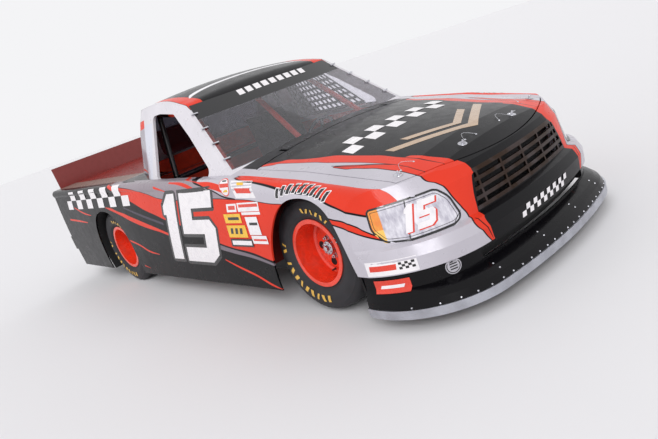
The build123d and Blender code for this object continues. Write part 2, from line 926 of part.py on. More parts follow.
# Control arms: a lower and an upper wishbone on each side
arm_in_y = clip_y + clip_w / 2
with BuildPart() as control_arms:
    for side in (1, -1):
        for z in (kingpin_low_z - fit_gap - arm_thick, kingpin_high_z + fit_gap):
            with BuildSketch(Plane.XY.offset(z)):
                with BuildLine():
                    Polyline(
                        (front_axle_x - 145, side * arm_in_y),
                        (front_axle_x - 95, side * arm_in_y),
                        (front_axle_x, side * (kingpin_y - 48)),
                        (front_axle_x + 95, side * arm_in_y),
                        (front_axle_x + 145, side * arm_in_y),
                        (front_axle_x + arm_eye_r * 0.6, side * (kingpin_y - 6)),
                        (front_axle_x - arm_eye_r * 0.6, side * (kingpin_y - 6)),
                        close=True,
                    )
                make_face()
                with Locations((front_axle_x, side * kingpin_y)):
                    Circle(arm_eye_r)
                    Circle(ball_r + fit_gap, mode=Mode.SUBTRACT)
            extrude(amount=arm_thick)

# Trailing arms from the frame to the rear axle
trail_w = 46
with BuildPart() as trailing_arms:
    for side in (1, -1):
        with BuildSketch(Plane.XZ.offset(-side * 300 - trail_w / 2)):
            with BuildLine():
                Polyline(
                    (rail_back_x, rail_z + 12),
                    (rear_axle_x + 30, tyre_r - axle_tube_r - 50),
                    (rear_axle_x - 40, tyre_r - axle_tube_r - 50),
                    (rear_axle_x - 40, tyre_r),
                    (rear_axle_x + 90, tyre_r),
                    (rail_back_x, rail_z + rail_h - 12),
                    close=True,
                )
            make_face()
        extrude(amount=trail_w)
    add(rear_axle.part, mode=Mode.SUBTRACT)

# Engine, gearbox with drive shaft, and exhaust
engine_x = (rail_front_x + 70, front_axle_x + 60)
with BuildPart() as engine_block:
    with BuildSketch(Plane.YZ.offset(engine_x[0])):
        with BuildLine():
            Polyline(
                (-130, rail_z + clip_h),
                (130, rail_z + clip_h),
                (130, 330),
                (290, 560),
                (210, 640),
                (-210, 640),
                (-290, 560),
                (-130, 330),
                close=True,
            )
        make_face()
    extrude(amount=engine_x[1] - engine_x[0])

shaft_r = 45
gearbox_r = 88
gearbox_back_x = 420
with BuildPart() as driveline:
    for x, r in ((engine_x[0], gearbox_r), (gearbox_back_x, shaft_r + 10)):
        with BuildSketch(Plane.YZ.offset(x)):
            with Locations((0, tyre_r - 30)):
                Circle(r)
    loft()
    with BuildSketch(Plane.YZ.offset(rear_axle_x + centre_r + 60)):
        with Locations((0, tyre_r - 30)):
            Circle(shaft_r)
    extrude(amount=gearbox_back_x - rear_axle_x - centre_r - 60)

pipe_r = 34
pipe_y = 520
pipe_z = rail_z + 42
with BuildPart() as exhaust:
    for side in (1, -1):
        with BuildSketch(Plane.YZ.offset(-300)):
            with Locations((side * pipe_y, pipe_z)):
                Circle(pipe_r)
                Circle(pipe_r - 3, mode=Mode.SUBTRACT)
        extrude(amount=rail_front_x - 60 + 300)

# Cabin: floor with its tunnel, bulkheads, dash
floor_front_x = 930
floor_back_x = cab_back_x - 8
sheet = 6
bulkhead_gap = 0.8
floor_half = rail_y + rail_w / 2
with BuildPart() as floor_pan:
    with BuildSketch(Plane.YZ.offset(floor_back_x)):
        with BuildLine():
            Polyline(
                (-floor_half, floor_z),
                (-tunnel_half, floor_z),
                (-tunnel_half + 40, tunnel_z),
                (tunnel_half - 40, tunnel_z),
                (tunnel_half, floor_z),
                (floor_half, floor_z),
                (floor_half, floor_z + floor_thick),
                (tunnel_half + floor_thick, floor_z + floor_thick),
                (tunnel_half - 40 + floor_thick, tunnel_z + floor_thick),
                (-tunnel_half + 40 - floor_thick, tunnel_z + floor_thick),
                (-tunnel_half - floor_thick, floor_z + floor_thick),
                (-floor_half, floor_z + floor_thick),
                close=True,
            )
        make_face()
    extrude(amount=floor_front_x - floor_back_x)

with BuildPart() as tunnel_hole:
    with BuildSketch(Plane.YZ.offset(-far)):
        with BuildLine():
            Polyline(
                (-tunnel_half, floor_z - 50),
                (-tunnel_half, floor_z),
                (-tunnel_half + 40, tunnel_z),
                (tunnel_half - 40, tunnel_z),
                (tunnel_half, floor_z),
                (tunnel_half, floor_z - 50),
                close=True,
            )
        make_face()
    extrude(amount=3 * far)

bulkheads = {}
for word, x in (("firewall", floor_front_x), ("rear_bulkhead", floor_back_x - sheet)):
    with BuildPart() as bulkhead:
        with BuildSketch(Plane.YZ.offset(x)):
            skin_section(*skin_at(x), wall + bulkhead_gap, sill_z - 60)
        extrude(amount=sheet)
        add(keep_box(-far * 3, far * 3, -far * 2, far * 2, floor_z, cab_foot_z), mode=Mode.INTERSECT)
        add(tunnel_hole.part, mode=Mode.SUBTRACT)
    bulkheads[word] = bulkhead.part

# Driver's seat
seat_y = 385
seat_w = 400
seat_x = 20
seat_base_z = floor_z + floor_thick
with BuildPart() as seat:
    with BuildSketch(Plane.XZ.offset(-seat_y - seat_w / 2)) as seat_sketch:
        with BuildLine():
            Polyline(
                (seat_x - 110, seat_base_z),
                (seat_x + 330, seat_base_z),
                (seat_x + 350, 430),
                (seat_x - 40, 390),
                (seat_x - 210, 1120),
                (seat_x - 290, 1110),
                (seat_x - 150, seat_base_z),
                close=True,
            )
        make_face()
    extrude(amount=seat_w)
    for y in (seat_y - seat_w / 2, seat_y + seat_w / 2 - 26):
        with BuildSketch(Plane.XZ.offset(-y - 26)):
            with BuildLine():
                Polyline(
                    (seat_x - 110, seat_base_z),
                    (seat_x + 350, seat_base_z),
                    (seat_x + 340, 520),
                    (seat_x + 110, 600),
                    (seat_x - 30, 860),
                    (seat_x - 60, 1120),
                    (seat_x - 280, 1120),
                    (seat_x - 150, seat_base_z),
                    close=True,
                )
            make_face()
        extrude(amount=26)

# Steering wheel on its column
wheel_x = 430
wheel_z = 800
grip_r = 165
rim_tube_r = 14
spoke_w = 30
column_r = 26
column_tilt = radians(18)
with BuildPart() as steering_wheel:
    column = Plane(
        origin=(wheel_x, seat_y, wheel_z),
        x_dir=(0, 1, 0),
        z_dir=(cos(column_tilt), 0, -sin(column_tilt)),
    )
    with BuildSketch(Plane(origin=column.origin, x_dir=column.x_dir, z_dir=column.y_dir)):
        with Locations((grip_r, 0)):
            Circle(rim_tube_r)
    revolve(axis=Axis(column.origin, column.z_dir))
    with BuildSketch(column):
        Rectangle(2 * grip_r, spoke_w)
        Rectangle(spoke_w, 2 * grip_r)
    extrude(amount=sheet)
    with BuildSketch(column):
        Circle(column_r)
    extrude(amount=2 * (floor_front_x - wheel_x))
    add(keep_box(0, floor_front_x, -far, far, 0, far), mode=Mode.INTERSECT)

# Roll cage of round tubes: start point, end point
hoop_x = -260
hoop_half = 610
hoop_top_z = 1400
halo_x = 210
halo_z = 1335
halo_half = 560
leg_x = 770
leg_half = 700
leg_z = 850
foot_x = 860
cage_foot_z = floor_z + floor_thick
cage_stub_z = cage_foot_z + 60
cage_table = []
for side in (1, -1):
    cage_table += [
        ((hoop_x, side * rail_y, cage_foot_z), (hoop_x, side * rail_y, cage_stub_z)),
        ((foot_x, side * rail_y, cage_foot_z), (foot_x, side * rail_y, cage_stub_z)),
        ((hoop_x, side * rail_y, cage_stub_z), (hoop_x, side * (hoop_half + 40), 900)),
        ((hoop_x, side * (hoop_half + 40), 900), (hoop_x - 40, side * (hoop_half - 40), hoop_top_z)),
        ((hoop_x - 40, side * (hoop_half - 40), hoop_top_z), (halo_x, side * halo_half, halo_z)),
        ((halo_x, side * halo_half, halo_z), (leg_x - 80, side * leg_half, leg_z)),
        ((leg_x - 80, side * leg_half, leg_z), (foot_x, side * rail_y, cage_stub_z)),
        ((hoop_x, side * 650, 600), (foot_x - 30, side * 670, 600)),
        ((hoop_x, side * 655, 400), (foot_x - 10, side * 662, 400)),
    ]
cage_table += [
    ((hoop_x - 40, -(hoop_half - 40), hoop_top_z), (hoop_x - 40, hoop_half - 40, hoop_top_z)),
    ((halo_x, -halo_half, halo_z), (halo_x, halo_half, halo_z)),
    ((halo_x, 0, halo_z), (leg_x - 110, 0, leg_z)),
    ((leg_x - 80, -leg_half, leg_z), (leg_x - 80, leg_half, leg_z)),
    ((hoop_x, -650, 880), (hoop_x, 650, 880)),
]

with BuildPart() as roll_cage:
    for start, end in cage_table:
        run = Vector(end) - Vector(start)
        with BuildSketch(Plane(origin=start, z_dir=run)):
            Circle(tube_r)
        extrude(amount=run.length)
        with Locations([point for point in (start, end) if point[2] > cage_foot_z + tube_r]):
            Sphere(joint_r)

# Dash panel over the steering column
dash_x = 690
dash_z = 770
dash_half = 760
with BuildPart() as dash:
    with BuildSketch(Plane.XZ.offset(-dash_half)):
        with BuildLine():
            Polyline(
                (dash_x, dash_z),
                (dash_x - 40, cab_foot_z - 8),
                (dash_x, cab_foot_z + 14),
                (floor_front_x, cab_foot_z + 6),
                (floor_front_x, cab_foot_z - 6),
                (dash_x + 4, cab_foot_z),
                (dash_x - 30, cab_foot_z - 16),
                (dash_x + 8, dash_z),
                close=True,
            )
        make_face()
    extrude(amount=2 * dash_half)
    add(cab_shell.part, mode=Mode.SUBTRACT)
    add(roll_cage.part, mode=Mode.SUBTRACT)

# Fuel cell behind the rear axle
cell_size = (560, 700, 300)
with BuildPart() as fuel_cell:
    with BuildSketch(Plane.XY.offset(kick_up - 160 + clip_h / 2 - cell_size[2] / 2)):
        with Locations((clip_back_x + 60 + cell_size[0] / 2, 0)):
            Rectangle(cell_size[0], cell_size[1])
    extrude(amount=cell_size[2])

part_table = {
    "nose_fascia": nose_fascia,
    "headlamp_left": headlamp_left,
    "headlamp_right": headlamp_right,
    "grille": grille,
    "air_dam": air_dam,
    "splitter_lip": splitter_lip,
    "hood": hood,
    "cowl": cowl,
    "deck": deck,
    "tailgate": tailgate,
    "rear_bumper": rear_bumper,
    "spoiler": spoiler,
    "cab_shell": cab_shell,
    "windshield": windshield,
    "rear_window": rear_window,
    "rear_axle": rear_axle,
    "frame": frame,
    "control_arms": control_arms,
    "trailing_arms": trailing_arms,
    "engine_block": engine_block,
    "driveline": driveline,
    "exhaust": exhaust,
    "floor_pan": floor_pan,
    "dash": dash,
    "seat": seat,
    "steering_wheel": steering_wheel,
    "roll_cage": roll_cage,
    "fuel_cell": fuel_cell,
}
all_parts = {name: block.part for name, block in part_table.items()} | bulkheads | side_pieces | wheel_parts
for name, part in all_parts.items():
    part.label = name
    export_step(part, f"parts/{name}.step")
    print(name, len(part.solids()), round(part.volume / 1e3))
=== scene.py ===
import math
import bmesh
import bpy
from mathutils import Matrix, Vector
from mathutils.bvhtree import BVHTree


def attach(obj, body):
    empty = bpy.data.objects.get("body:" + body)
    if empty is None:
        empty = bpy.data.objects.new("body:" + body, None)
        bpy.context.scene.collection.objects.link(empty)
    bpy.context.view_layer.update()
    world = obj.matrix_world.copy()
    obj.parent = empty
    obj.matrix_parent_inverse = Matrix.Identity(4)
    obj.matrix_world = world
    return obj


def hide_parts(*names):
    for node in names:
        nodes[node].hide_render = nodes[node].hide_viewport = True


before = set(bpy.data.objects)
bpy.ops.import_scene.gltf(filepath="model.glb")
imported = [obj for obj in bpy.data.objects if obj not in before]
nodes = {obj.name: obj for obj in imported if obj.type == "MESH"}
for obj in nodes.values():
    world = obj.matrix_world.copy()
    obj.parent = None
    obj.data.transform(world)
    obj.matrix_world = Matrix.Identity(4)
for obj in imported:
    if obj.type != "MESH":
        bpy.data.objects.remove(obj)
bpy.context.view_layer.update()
SIDES = {"left": 1, "right": -1}

# Main places of the truck, metres
FRONT_AXLE_X = 1.54
REAR_AXLE_X = -1.305
TRACK_HALF = 0.77
TYRE_RADIUS = 0.3555
CROWN_HALF = 0.112
FRONT_LEAN = math.radians(5)
FRONT_CENTRE_Z = TYRE_RADIUS * math.cos(FRONT_LEAN) + CROWN_HALF * math.sin(FRONT_LEAN)

# Colours as they read on the real truck, sRGB
RED = "#DF3B26"
SILVER = "#C2BEC7"
# silver as it reads in shade on the door top: painted shade
SILVER_IN_PAINTED_SHADE = "#9A9098"
BLACK = "#0C0B0E"
WHITE = "#F1EDF0"
YELLOW = "#F2BE1C"
TAN = "#B89A7C"


def colour(text):
    """An sRGB hex value as linear red, green, blue and alpha."""
    parts = [int(text[i:i + 2], 16) / 255 for i in (1, 3, 5)]
    linear = [p / 12.92 if p <= 0.04045 else ((p + 0.055) / 1.055) ** 2.4 for p in parts]
    return (*linear, 1.0)


# Materials

def add(tree, kind, inputs=(), out=0, **settings):
    """Adds one node and returns one of its outputs. Inputs are given in order, or by name or number; each is a
    number, an sRGB hex colour or another node's output."""
    node = tree.nodes.new("ShaderNode" + kind)
    for name, value in settings.items():
        setattr(node, name, value)
    for name, value in inputs.items() if isinstance(inputs, dict) else enumerate(inputs):
        if isinstance(value, bpy.types.NodeSocket):
            tree.links.new(value, node.inputs[name])
        else:
            node.inputs[name].default_value = colour(value) if isinstance(value, str) else value
    return node.outputs[out] if node.outputs else None


def begin(name):
    """A new material, its empty node tree, and the place on the truck in metres."""
    material = bpy.data.materials.new(name)
    material.use_nodes = True
    tree = material.node_tree
    tree.nodes.clear()
    return material, tree, add(tree, "TexCoord", out="Object")


def shaded(material, looks):
    """Gives a material its shader, with these looks."""
    tree = material.node_tree
    add(tree, "OutputMaterial", {"Surface": add(tree, "BsdfPrincipled", looks)})
    return material


def laid(tree, masks, under, over):
    """One colour laid over another where all the masks are 1."""
    mask = masks[0]
    for more in masks[1:]:
        mask = add(tree, "Math", (mask, more), operation="MULTIPLY")
    return add(tree, "Mix", {0: mask, 6: under, 7: over}, 2, data_type="RGBA")


def faded(tree, value, low, high, under, over, most=1):
    """A colour that turns into another while a value goes from low to high, at most by the given share."""
    return laid(tree, [add(tree, "MapRange", (value, low, high, 0, most))], under, over)


# The stripes are drawn in millimetres
SHARP = 1.2  # half the soft width of a painted edge
CURVE_MARGIN = 10  # room over and under a drawn edge on its curve


def spot(tree, place):
    """Millimetres along the truck, out from its middle plane, and up."""
    scaled = add(tree, "VectorMath", (place, (1000, 1000, 1000)), operation="MULTIPLY")
    x, y, z = add(tree, "SeparateXYZ", (scaled,)).node.outputs
    return x, add(tree, "Math", (y,), operation="ABSOLUTE"), z


def past(tree, value, edge):
    """1 where a value lies past an edge."""
    rest = add(tree, "Math", (value, edge), operation="SUBTRACT")
    return add(tree, "MapRange", (rest, -SHARP, SHARP, 0, 1))


def drawn_edge(tree, along, points):
    """One edge of a stripe: a smooth line through the given points."""
    first, last = points[0][0], points[-1][0]
    low = min(v for _, v in points) - CURVE_MARGIN
    high = max(v for _, v in points) + CURVE_MARGIN
    curve = add(tree, "FloatCurve", {"Value": add(tree, "MapRange", (along, first, last, 0, 1))})
    line = curve.node.mapping.curves[0]
    spots = [((u - first) / (last - first), (v - low) / (high - low)) for u, v in points]
    line.points[0].location = spots[0]
    line.points[1].location = spots[-1]
    for inner in spots[1:-1]:
        line.points.new(*inner)
    for point in line.points:
        point.handle_type = "AUTO_CLAMPED"
    curve.node.mapping.update()
    return add(tree, "MapRange", (curve, 0, 1, low, high))


def stripe(tree, under, along, across, low, high, tint, line=0):
    """Paints the strip between two edges, drawn or level, with a black line round it where it has one."""
    reach = [p[0] for edge in (low, high) if isinstance(edge, list) for p in edge]
    ends = [past(tree, along, min(reach)), past(tree, max(reach), along)]
    low, high = [drawn_edge(tree, along, edge) if isinstance(edge, list) else edge for edge in (low, high)]
    for spread, ink in ([(line, BLACK)] if line else []) + [(0, tint)]:
        foot = add(tree, "Math", (low, spread), operation="SUBTRACT")
        head = add(tree, "Math", (high, spread), operation="ADD")
        under = laid(tree, ends + [past(tree, across, foot), past(tree, head, across)], under, ink)
    return under


def race_paint(name, design):
    """Two-pack race paint, sprayed and clear-coated: deep, even gloss; its silver holds some aluminium flake, so
    it turns darker where it faces away from the light."""
    material, tree, place = begin(name)
    tint = design(tree, place)
    # panels polished by hand change their tone slowly, over a third of a metre
    cloud = add(tree, "TexNoise", {"Vector": place, "Scale": 3, "Detail": 3})
    shade = add(tree, "MapRange", (cloud, 0.3, 0.7, 0.94, 1.05))
    # only a pale tint without much colour is silver
    _, saturation, value = add(tree, "SeparateColor", {"Color": tint}, mode="HSV").node.outputs
    plain = add(tree, "Math", (value, add(tree, "Math", (1, saturation), operation="SUBTRACT")),
                operation="MULTIPLY")
    dust = add(tree, "TexNoise", {"Vector": place, "Scale": 14, "Detail": 4})
    # sheet formed by hand: faint waves a hand's breadth long that bend the reflections
    waves = add(tree, "TexNoise", {"Vector": place, "Scale": 7, "Detail": 1})
    return shaded(material, {
        "Base Color": add(tree, "HueSaturation", {"Value": shade, "Color": tint}),
        "Metallic": add(tree, "MapRange", (plain, 0.1, 0.35, 0, 0.15)),
        "Roughness": add(tree, "MapRange", (dust, 0.35, 0.75, 0.26, 0.4)),
        "Normal": add(tree, "Bump", {"Height": waves, "Distance": 0.0012, "Strength": 0.25}),
        "IOR": 1.5, "Specular IOR Level": 0.04, "Coat Weight": 0.3, "Coat Roughness": 0.08})


def side_design(tree, place):
    """Stripes of the flanks, drawn on length and height, painted from the black ground up."""
    x, out, z = spot(tree, place)
    tint = BLACK
    tops = [(-950, 985), (-700, 955), (-463, 925), (-350, 900), (-200, 868), (0, 820), (200, 800), (500, 790),
            (775, 785), (1000, 770), (1150, 760), (1275, 742.5), (1400, 726), (1487.5, 720), (1550, 700)]
    feet = [(-950, 975), (-670, 870), (-490, 800), (-350, 745), (-160, 690), (-50, 655), (150, 610), (300, 575),
            (500, 510), (587.5, 482.5), (775, 439), (1000, 407.5), (1200, 357.5), (1550, 300)]
    belt = [(-950, 1080), (-300, 1060), (0, 1010), (150, 990), (275, 970), (450, 945), (575, 900), (712.5, 864),
            (825, 820), (900, 789), (1030, 765)]
    # the silver from the screen pillar forwards, over the arch and down the corner of the nose
    fore = [(600, 885), (700, 866), (825, 820), (900, 789), (1025, 770), (1150, 760), (1275, 742.5), (1400, 726),
            (1487.5, 720), (1550, 690), (1620, 500), (1700, 300), (2700, 290)]
    tint = stripe(tree, tint, x, z, fore, 1300, SILVER)
    # the door top in silver darkened by painted shade, with a black line round it
    tint = stripe(tree, tint, x, z, tops[:10] + [(1030, 765)], belt, SILVER_IN_PAINTED_SHADE, 12)
    tint = stripe(tree, tint, x, z, feet, tops, RED, 5)
    # wedges of red on the shade-darkened silver, door top
    tint = stripe(tree, tint, x, z, [(-40, 905), (150, 862)], [(-40, 925), (60, 900), (150, 868)], RED)
    tint = stripe(tree, tint, x, z, [(200, 925), (350, 907.5), (525, 864), (612.5, 845)],
                  [(200, 933), (425, 914), (625, 851)], RED)
    tint = stripe(tree, tint, x, z, [(400, 930), (620, 900), (700, 875), (800, 850), (950, 805)],
                  [(400, 935), (620, 908), (750, 900), (850, 885), (950, 860)], RED)
    # the long red strip on the fender top, bounded inwards by the way out from the middle plane
    under_strip = [(950, 930), (1000, 902), (1100, 880), (1260, 857), (1400, 832), (1500, 810), (1625, 785),
                   (1775, 757), (1862.5, 714), (1960, 676), (2050, 632), (2300, 500)]
    inner_strip = [(943, 900), (1036, 885), (1120, 877), (1500, 872), (1730, 861), (1920, 861), (2000, 862),
                   (2100, 850), (2200, 810), (2300, 800)]
    masks = [past(tree, x, 950), past(tree, 2260, x), past(tree, out, drawn_edge(tree, x, inner_strip))]
    foot = drawn_edge(tree, x, under_strip)
    # where the shoulder lies flat a small drop makes a broad line, so the line's drop grows along it
    drop = add(tree, "MapRange", (x, 1000, 1450, 2, 12))
    for edge, ink in ((add(tree, "Math", (foot, drop), operation="SUBTRACT"), BLACK), (foot, RED)):
        tint = laid(tree, masks + [past(tree, z, edge)], tint, ink)
    # below and behind
    for low, high, ink, line in (
        ([(1700, 640), (1900, 589), (1962.5, 570), (2025, 532.5), (2050, 517.5), (2140, 470)],
         [(1700, 670), (1875, 617.5), (1962.5, 601), (2025, 564), (2050, 539), (2140, 472)], RED, 9),
        ([(530, 455), (575, 432.5), (775, 395), (1000, 364), (1200, 320)],
         [(530, 470), (575, 464), (775, 426), (1000, 389), (1200, 339)], "#7C727C", 0),
        ([(-750, 770), (-450, 688), (-100, 609)], [(-750, 784), (-450, 710), (-100, 631)], "#4A4250", 0),
        ([(-1170, 785), (-1050, 753), (-917, 720), (-783, 680), (-677, 647), (-517, 607), (-383, 580), (-210, 550),
          (-117, 529), (0, 500)],
         [(-1170, 790), (-1050, 780), (-917, 747), (-783, 722), (-703, 700), (-490, 647), (-383, 620), (-250, 587),
          (-117, 552), (0, 520)], RED, 0),
        ([(-903, 458), (-730, 418), (-570, 360), (-410, 344)],
         [(-903, 475), (-730, 436), (-570, 378), (-410, 350)], RED, 0),
        ([(-837, 215), (-730, 200)], [(-837, 226), (-730, 203)], RED, 0),
        ([(625, 335), (775, 279), (950, 222), (1100, 160), (1175, 148)],
         [(625, 345), (775, 297), (950, 241), (1100, 178), (1175, 151)], RED, 0),
        ([(-2040, 800), (-1797, 732), (-1637, 715)], [(-2040, 814), (-1797, 748), (-1637, 722)], RED, 0),
        ([(-2343, 672), (-2117, 657), (-1823, 640)], [(-2343, 690), (-2117, 677), (-1823, 650)], RED, 0),
    ):
        tint = stripe(tree, tint, x, z, low, high, ink, line)
    return tint


def top_design(tree, place):
    """Stripes of the hood, drawn on length and the way out from the middle plane."""
    x, out, _ = spot(tree, place)
    tint = SILVER
    outer = [(900, 800), (1036, 773), (1100, 759), (1195, 726), (1220, 708), (1316, 694), (1410, 682), (1500, 670),
             (1595, 661), (1707, 638), (1780, 624), (1837, 614.5), (1920, 605), (2060, 598), (2150, 605), (2250, 610),
             (2340, 600), (2420, 580)]
    inner = [(900, 775), (1036, 751), (1100, 738), (1120, 717), (1204, 684), (1260, 652), (1353, 642), (1446, 624),
             (1539, 596), (1604, 568), (1707, 552), (1828, 531), (1920, 517), (2000, 519), (2060, 513), (2080, 490),
             (2190, 470), (2265, 450), (2340, 438), (2420, 420)]
    tint = stripe(tree, tint, x, out, [(1693, 690), (1744, 675), (1828, 652), (1911, 628.5), (2005, 610), (2060, 600),
                   (2420, 560)],
                  [(1693, 700), (1780, 701), (1837, 684), (1911, 670), (2000, 655), (2154, 655), (2265, 652),
                   (2340, 630), (2420, 610)], RED, 7)
    tint = stripe(tree, tint, x, out, inner, outer, RED, 5)
    tint = stripe(tree, tint, x, out, -10, inner, BLACK)
    # dark tip and the thin dark line that part the red
    tint = stripe(tree, tint, x, out, [(1670, 688), (1770, 677), (1950, 615), (2060, 600)],
                  [(1670, 694), (1730, 692), (1770, 684), (1950, 622), (2060, 602)], BLACK)
    tint = stripe(tree, tint, x, out, [(2030, 516), (2154, 509), (2300, 500)],
                  [(2030, 518), (2154, 517), (2300, 503)], BLACK)
    return tint


def nose_design(tree, place):
    """Stripes of the nose: the flanks' design, and on its front stripes drawn on height and way out."""
    x, out, z = spot(tree, place)
    tint = side_design(tree, place)
    outer = [(270, 500), (300, 522), (360, 555), (420, 575), (440, 550), (500, 565), (560, 585), (620, 600),
             (655, 620), (700, 655), (740, 655), (900, 650)]
    inner = [(270, 490), (300, 500), (340, 505), (400, 510), (440, 490), (520, 475), (570, 460), (620, 440),
             (650, 415), (710, 430), (750, 440), (900, 440)]
    faced = stripe(tree, tint, z, out, inner, outer, RED, 8)
    faced = stripe(tree, faced, z, out, [(300, 508), (340, 516), (430, 545)],
                   [(300, 510), (340, 522), (430, 551)], BLACK)
    faced = stripe(tree, faced, z, out, -10, inner, BLACK)
    return laid(tree, [past(tree, x, 2200)], tint, faced)


def cab_design(tree, place):
    """The cab: silver sides with a pale post (a painted highlight) and greyer rear quarters, a black roof between
    them, a red flash in the roof's front corners and a thin pale strip across it behind the windscreen (a painted
    highlight)."""
    x, out, z = spot(tree, place)
    tint = "#DAD7DD"
    rail = [(-800, 500), (-500, 540), (-100, 580), (200, 610), (450, 630)]
    roof = stripe(tree, tint, x, out, -10, rail, BLACK)
    roof = stripe(tree, roof, x, out, [(-450, 530), (-200, 550), (100, 560), (300, 560), (430, 570)],
                  [(-450, 540), (-200, 600), (100, 640), (300, 675), (430, 690)], RED, 5)
    # a thin pale strip across the roof behind the windscreen: a painted highlight
    roof = stripe(tree, roof, out, x, [(-20, 100), (300, 115), (500, 170), (570, 240)],
                  [(-20, 155), (300, 170), (500, 220), (570, 260)], "#F2F0F4")
    # greyer rear quarters behind a pale, slightly blue post; the post's pale blue is a painted highlight
    quarter = stripe(tree, "#D5D6E2", x, z, [(-800, 500), (-345, 500)], [(-800, 1500), (-345, 1500)], "#A9A3AC")
    tint = laid(tree, [past(tree, -170, x)], tint, quarter)
    tint = laid(tree, [past(tree, z, 1360)], tint, roof)
    tint = stripe(tree, tint, x, z, [(-720, 1020), (-550, 985), (-300, 925)],
                  [(-720, 1045), (-550, 1000), (-300, 930)], RED)
    return stripe(tree, tint, x, z, [(-660, 1310), (-340, 1340)], [(-660, 1375), (-340, 1400)], RED)


def deck_design(tree, place):
    """The bed cover: dark red, rubbed along its length, with grey-tan shelves along both sides."""
    _, out, _ = spot(tree, place)
    rubbed = add(tree, "Mapping", {"Vector": place, "Scale": (0.6, 12, 1)})
    streaks = add(tree, "TexNoise", {"Vector": rubbed, "Scale": 9, "Detail": 5})
    tint = faded(tree, streaks, 0.3, 0.75, "#8E2A24", "#6E2420")
    return laid(tree, [past(tree, out, 690)], tint, "#8B7A72")


def red_enamel(name, tint, gloss=0.35, padded_behind=None):
    """Steel tube and plate sprayed with one coat of enamel: even gloss, a little dust in it. Behind the given
    place in millimetres the tubes are wrapped in black foam."""
    material, tree, place = begin(name)
    dust = add(tree, "TexNoise", {"Vector": place, "Scale": 22, "Detail": 5})
    body = faded(tree, dust, 0.45, 0.8, tint, "#6B2018", 0.35)
    if padded_behind is not None:
        x, _, _ = spot(tree, place)
        body = laid(tree, [past(tree, padded_behind, x)], body, "#141216")
    # orange peel of about 4 mm
    peel = add(tree, "TexNoise", {"Vector": place, "Scale": 270, "Detail": 1})
    return shaded(material, {
        "Base Color": body,
        "Roughness": add(tree, "MapRange", (dust, 0.3, 0.75, gloss - 0.1, gloss + 0.15)),
        "Normal": add(tree, "Bump", {"Height": peel, "Distance": 0.0001, "Strength": 0.5}),
        "IOR": 1.5, "Coat Weight": 0.5, "Coat Roughness": 0.1})


def satin_black(name, tint="#17161A", rough=0.5):
    """Chassis paint brushed on welded tube: satin, with scuffs down to grey and brush grain of about 3 mm."""
    material, tree, place = begin(name)
    scuff = add(tree, "TexNoise", {"Vector": place, "Scale": 35, "Detail": 6, "Roughness": 0.65})
    grain = add(tree, "TexNoise", {"Vector": place, "Scale": 300})
    return shaded(material, {
        "Base Color": faded(tree, scuff, 0.58, 0.8, tint, "#55535A", 0.5),
        "Roughness": add(tree, "MapRange", (scuff, 0.3, 0.7, rough - 0.1, rough + 0.12)),
        "Normal": add(tree, "Bump", {"Height": grain, "Distance": 0.0001, "Strength": 0.5}),
        "IOR": 1.5})


def bare_metal(name, tint, rough, stretch=(3, 60, 3)):
    """Rolled or turned metal left bare: fine parallel marks that blur what it mirrors. The marks are drawn
    a few times wider than real ones so that they show."""
    material, tree, place = begin(name)
    stretched = add(tree, "Mapping", {"Vector": place, "Scale": stretch})
    marks = add(tree, "TexNoise", {"Vector": stretched, "Scale": 14, "Detail": 6, "Roughness": 0.7})
    stain = add(tree, "TexNoise", {"Vector": place, "Scale": 9, "Detail": 4})
    return shaded(material, {
        "Base Color": faded(tree, stain, 0.4, 0.8, tint, "#6E6A70", 0.45), "Metallic": 1,
        "Roughness": add(tree, "MapRange", (marks, 0.3, 0.7, rough - 0.08, rough + 0.15)),
        "Normal": add(tree, "Bump", {"Height": marks, "Distance": 0.0002, "Strength": 0.4})})


def cast_metal(name):
    """Sand-cast iron: dull, with pitted grain about 2 mm across."""
    material, tree, place = begin(name)
    pits = add(tree, "TexVoronoi", {"Vector": place, "Scale": 450}, "Distance")
    stain = add(tree, "TexNoise", {"Vector": place, "Scale": 30, "Detail": 5})
    return shaded(material, {
        "Base Color": laid(tree, [stain], "#2B2A2C", "#4C4A4A"), "Metallic": 0.6, "Roughness": 0.7,
        "Normal": add(tree, "Bump", {"Height": pits, "Distance": 0.0008, "Strength": 0.7})})


def slick_rubber(name):
    """Cured racing rubber, buffed and scrubbed: matte black, greyer where it was wiped, with crumb of about 2 mm."""
    material, tree, place = begin(name)
    wipe = add(tree, "TexNoise", {"Vector": place, "Scale": 12, "Detail": 6, "Roughness": 0.6})
    crumb = add(tree, "TexNoise", {"Vector": place, "Scale": 420, "Detail": 3})
    return shaded(material, {
        "Base Color": faded(tree, wipe, 0.35, 0.75, "#141317", "#2A282D"), "IOR": 1.52,
        "Roughness": add(tree, "MapRange", (wipe, 0.3, 0.7, 0.5, 0.72)),
        "Normal": add(tree, "Bump", {"Height": crumb, "Distance": 0.0003, "Strength": 0.6})})


def clear_sheet(name, clear, hazed, sunband=False):
    """Polycarbonate sheet, thermoformed: clear, slightly smoky, hazed by wiping; a black sun band is stuck
    inside the top of the windscreen."""
    material, tree, place = begin(name)
    haze = add(tree, "TexNoise", {"Vector": place, "Scale": 30, "Detail": 4})
    tint, clearness = faded(tree, haze, 0.3, 0.8, clear, hazed), 1
    if sunband:
        _, _, z = spot(tree, place)
        band = past(tree, z, 1285)
        tint = laid(tree, [band], tint, BLACK)
        clearness = add(tree, "Math", (1, band), operation="SUBTRACT")
    return shaded(material, {"Base Color": tint, "Transmission Weight": clearness, "IOR": 1.58,
                             "Roughness": 0.02})


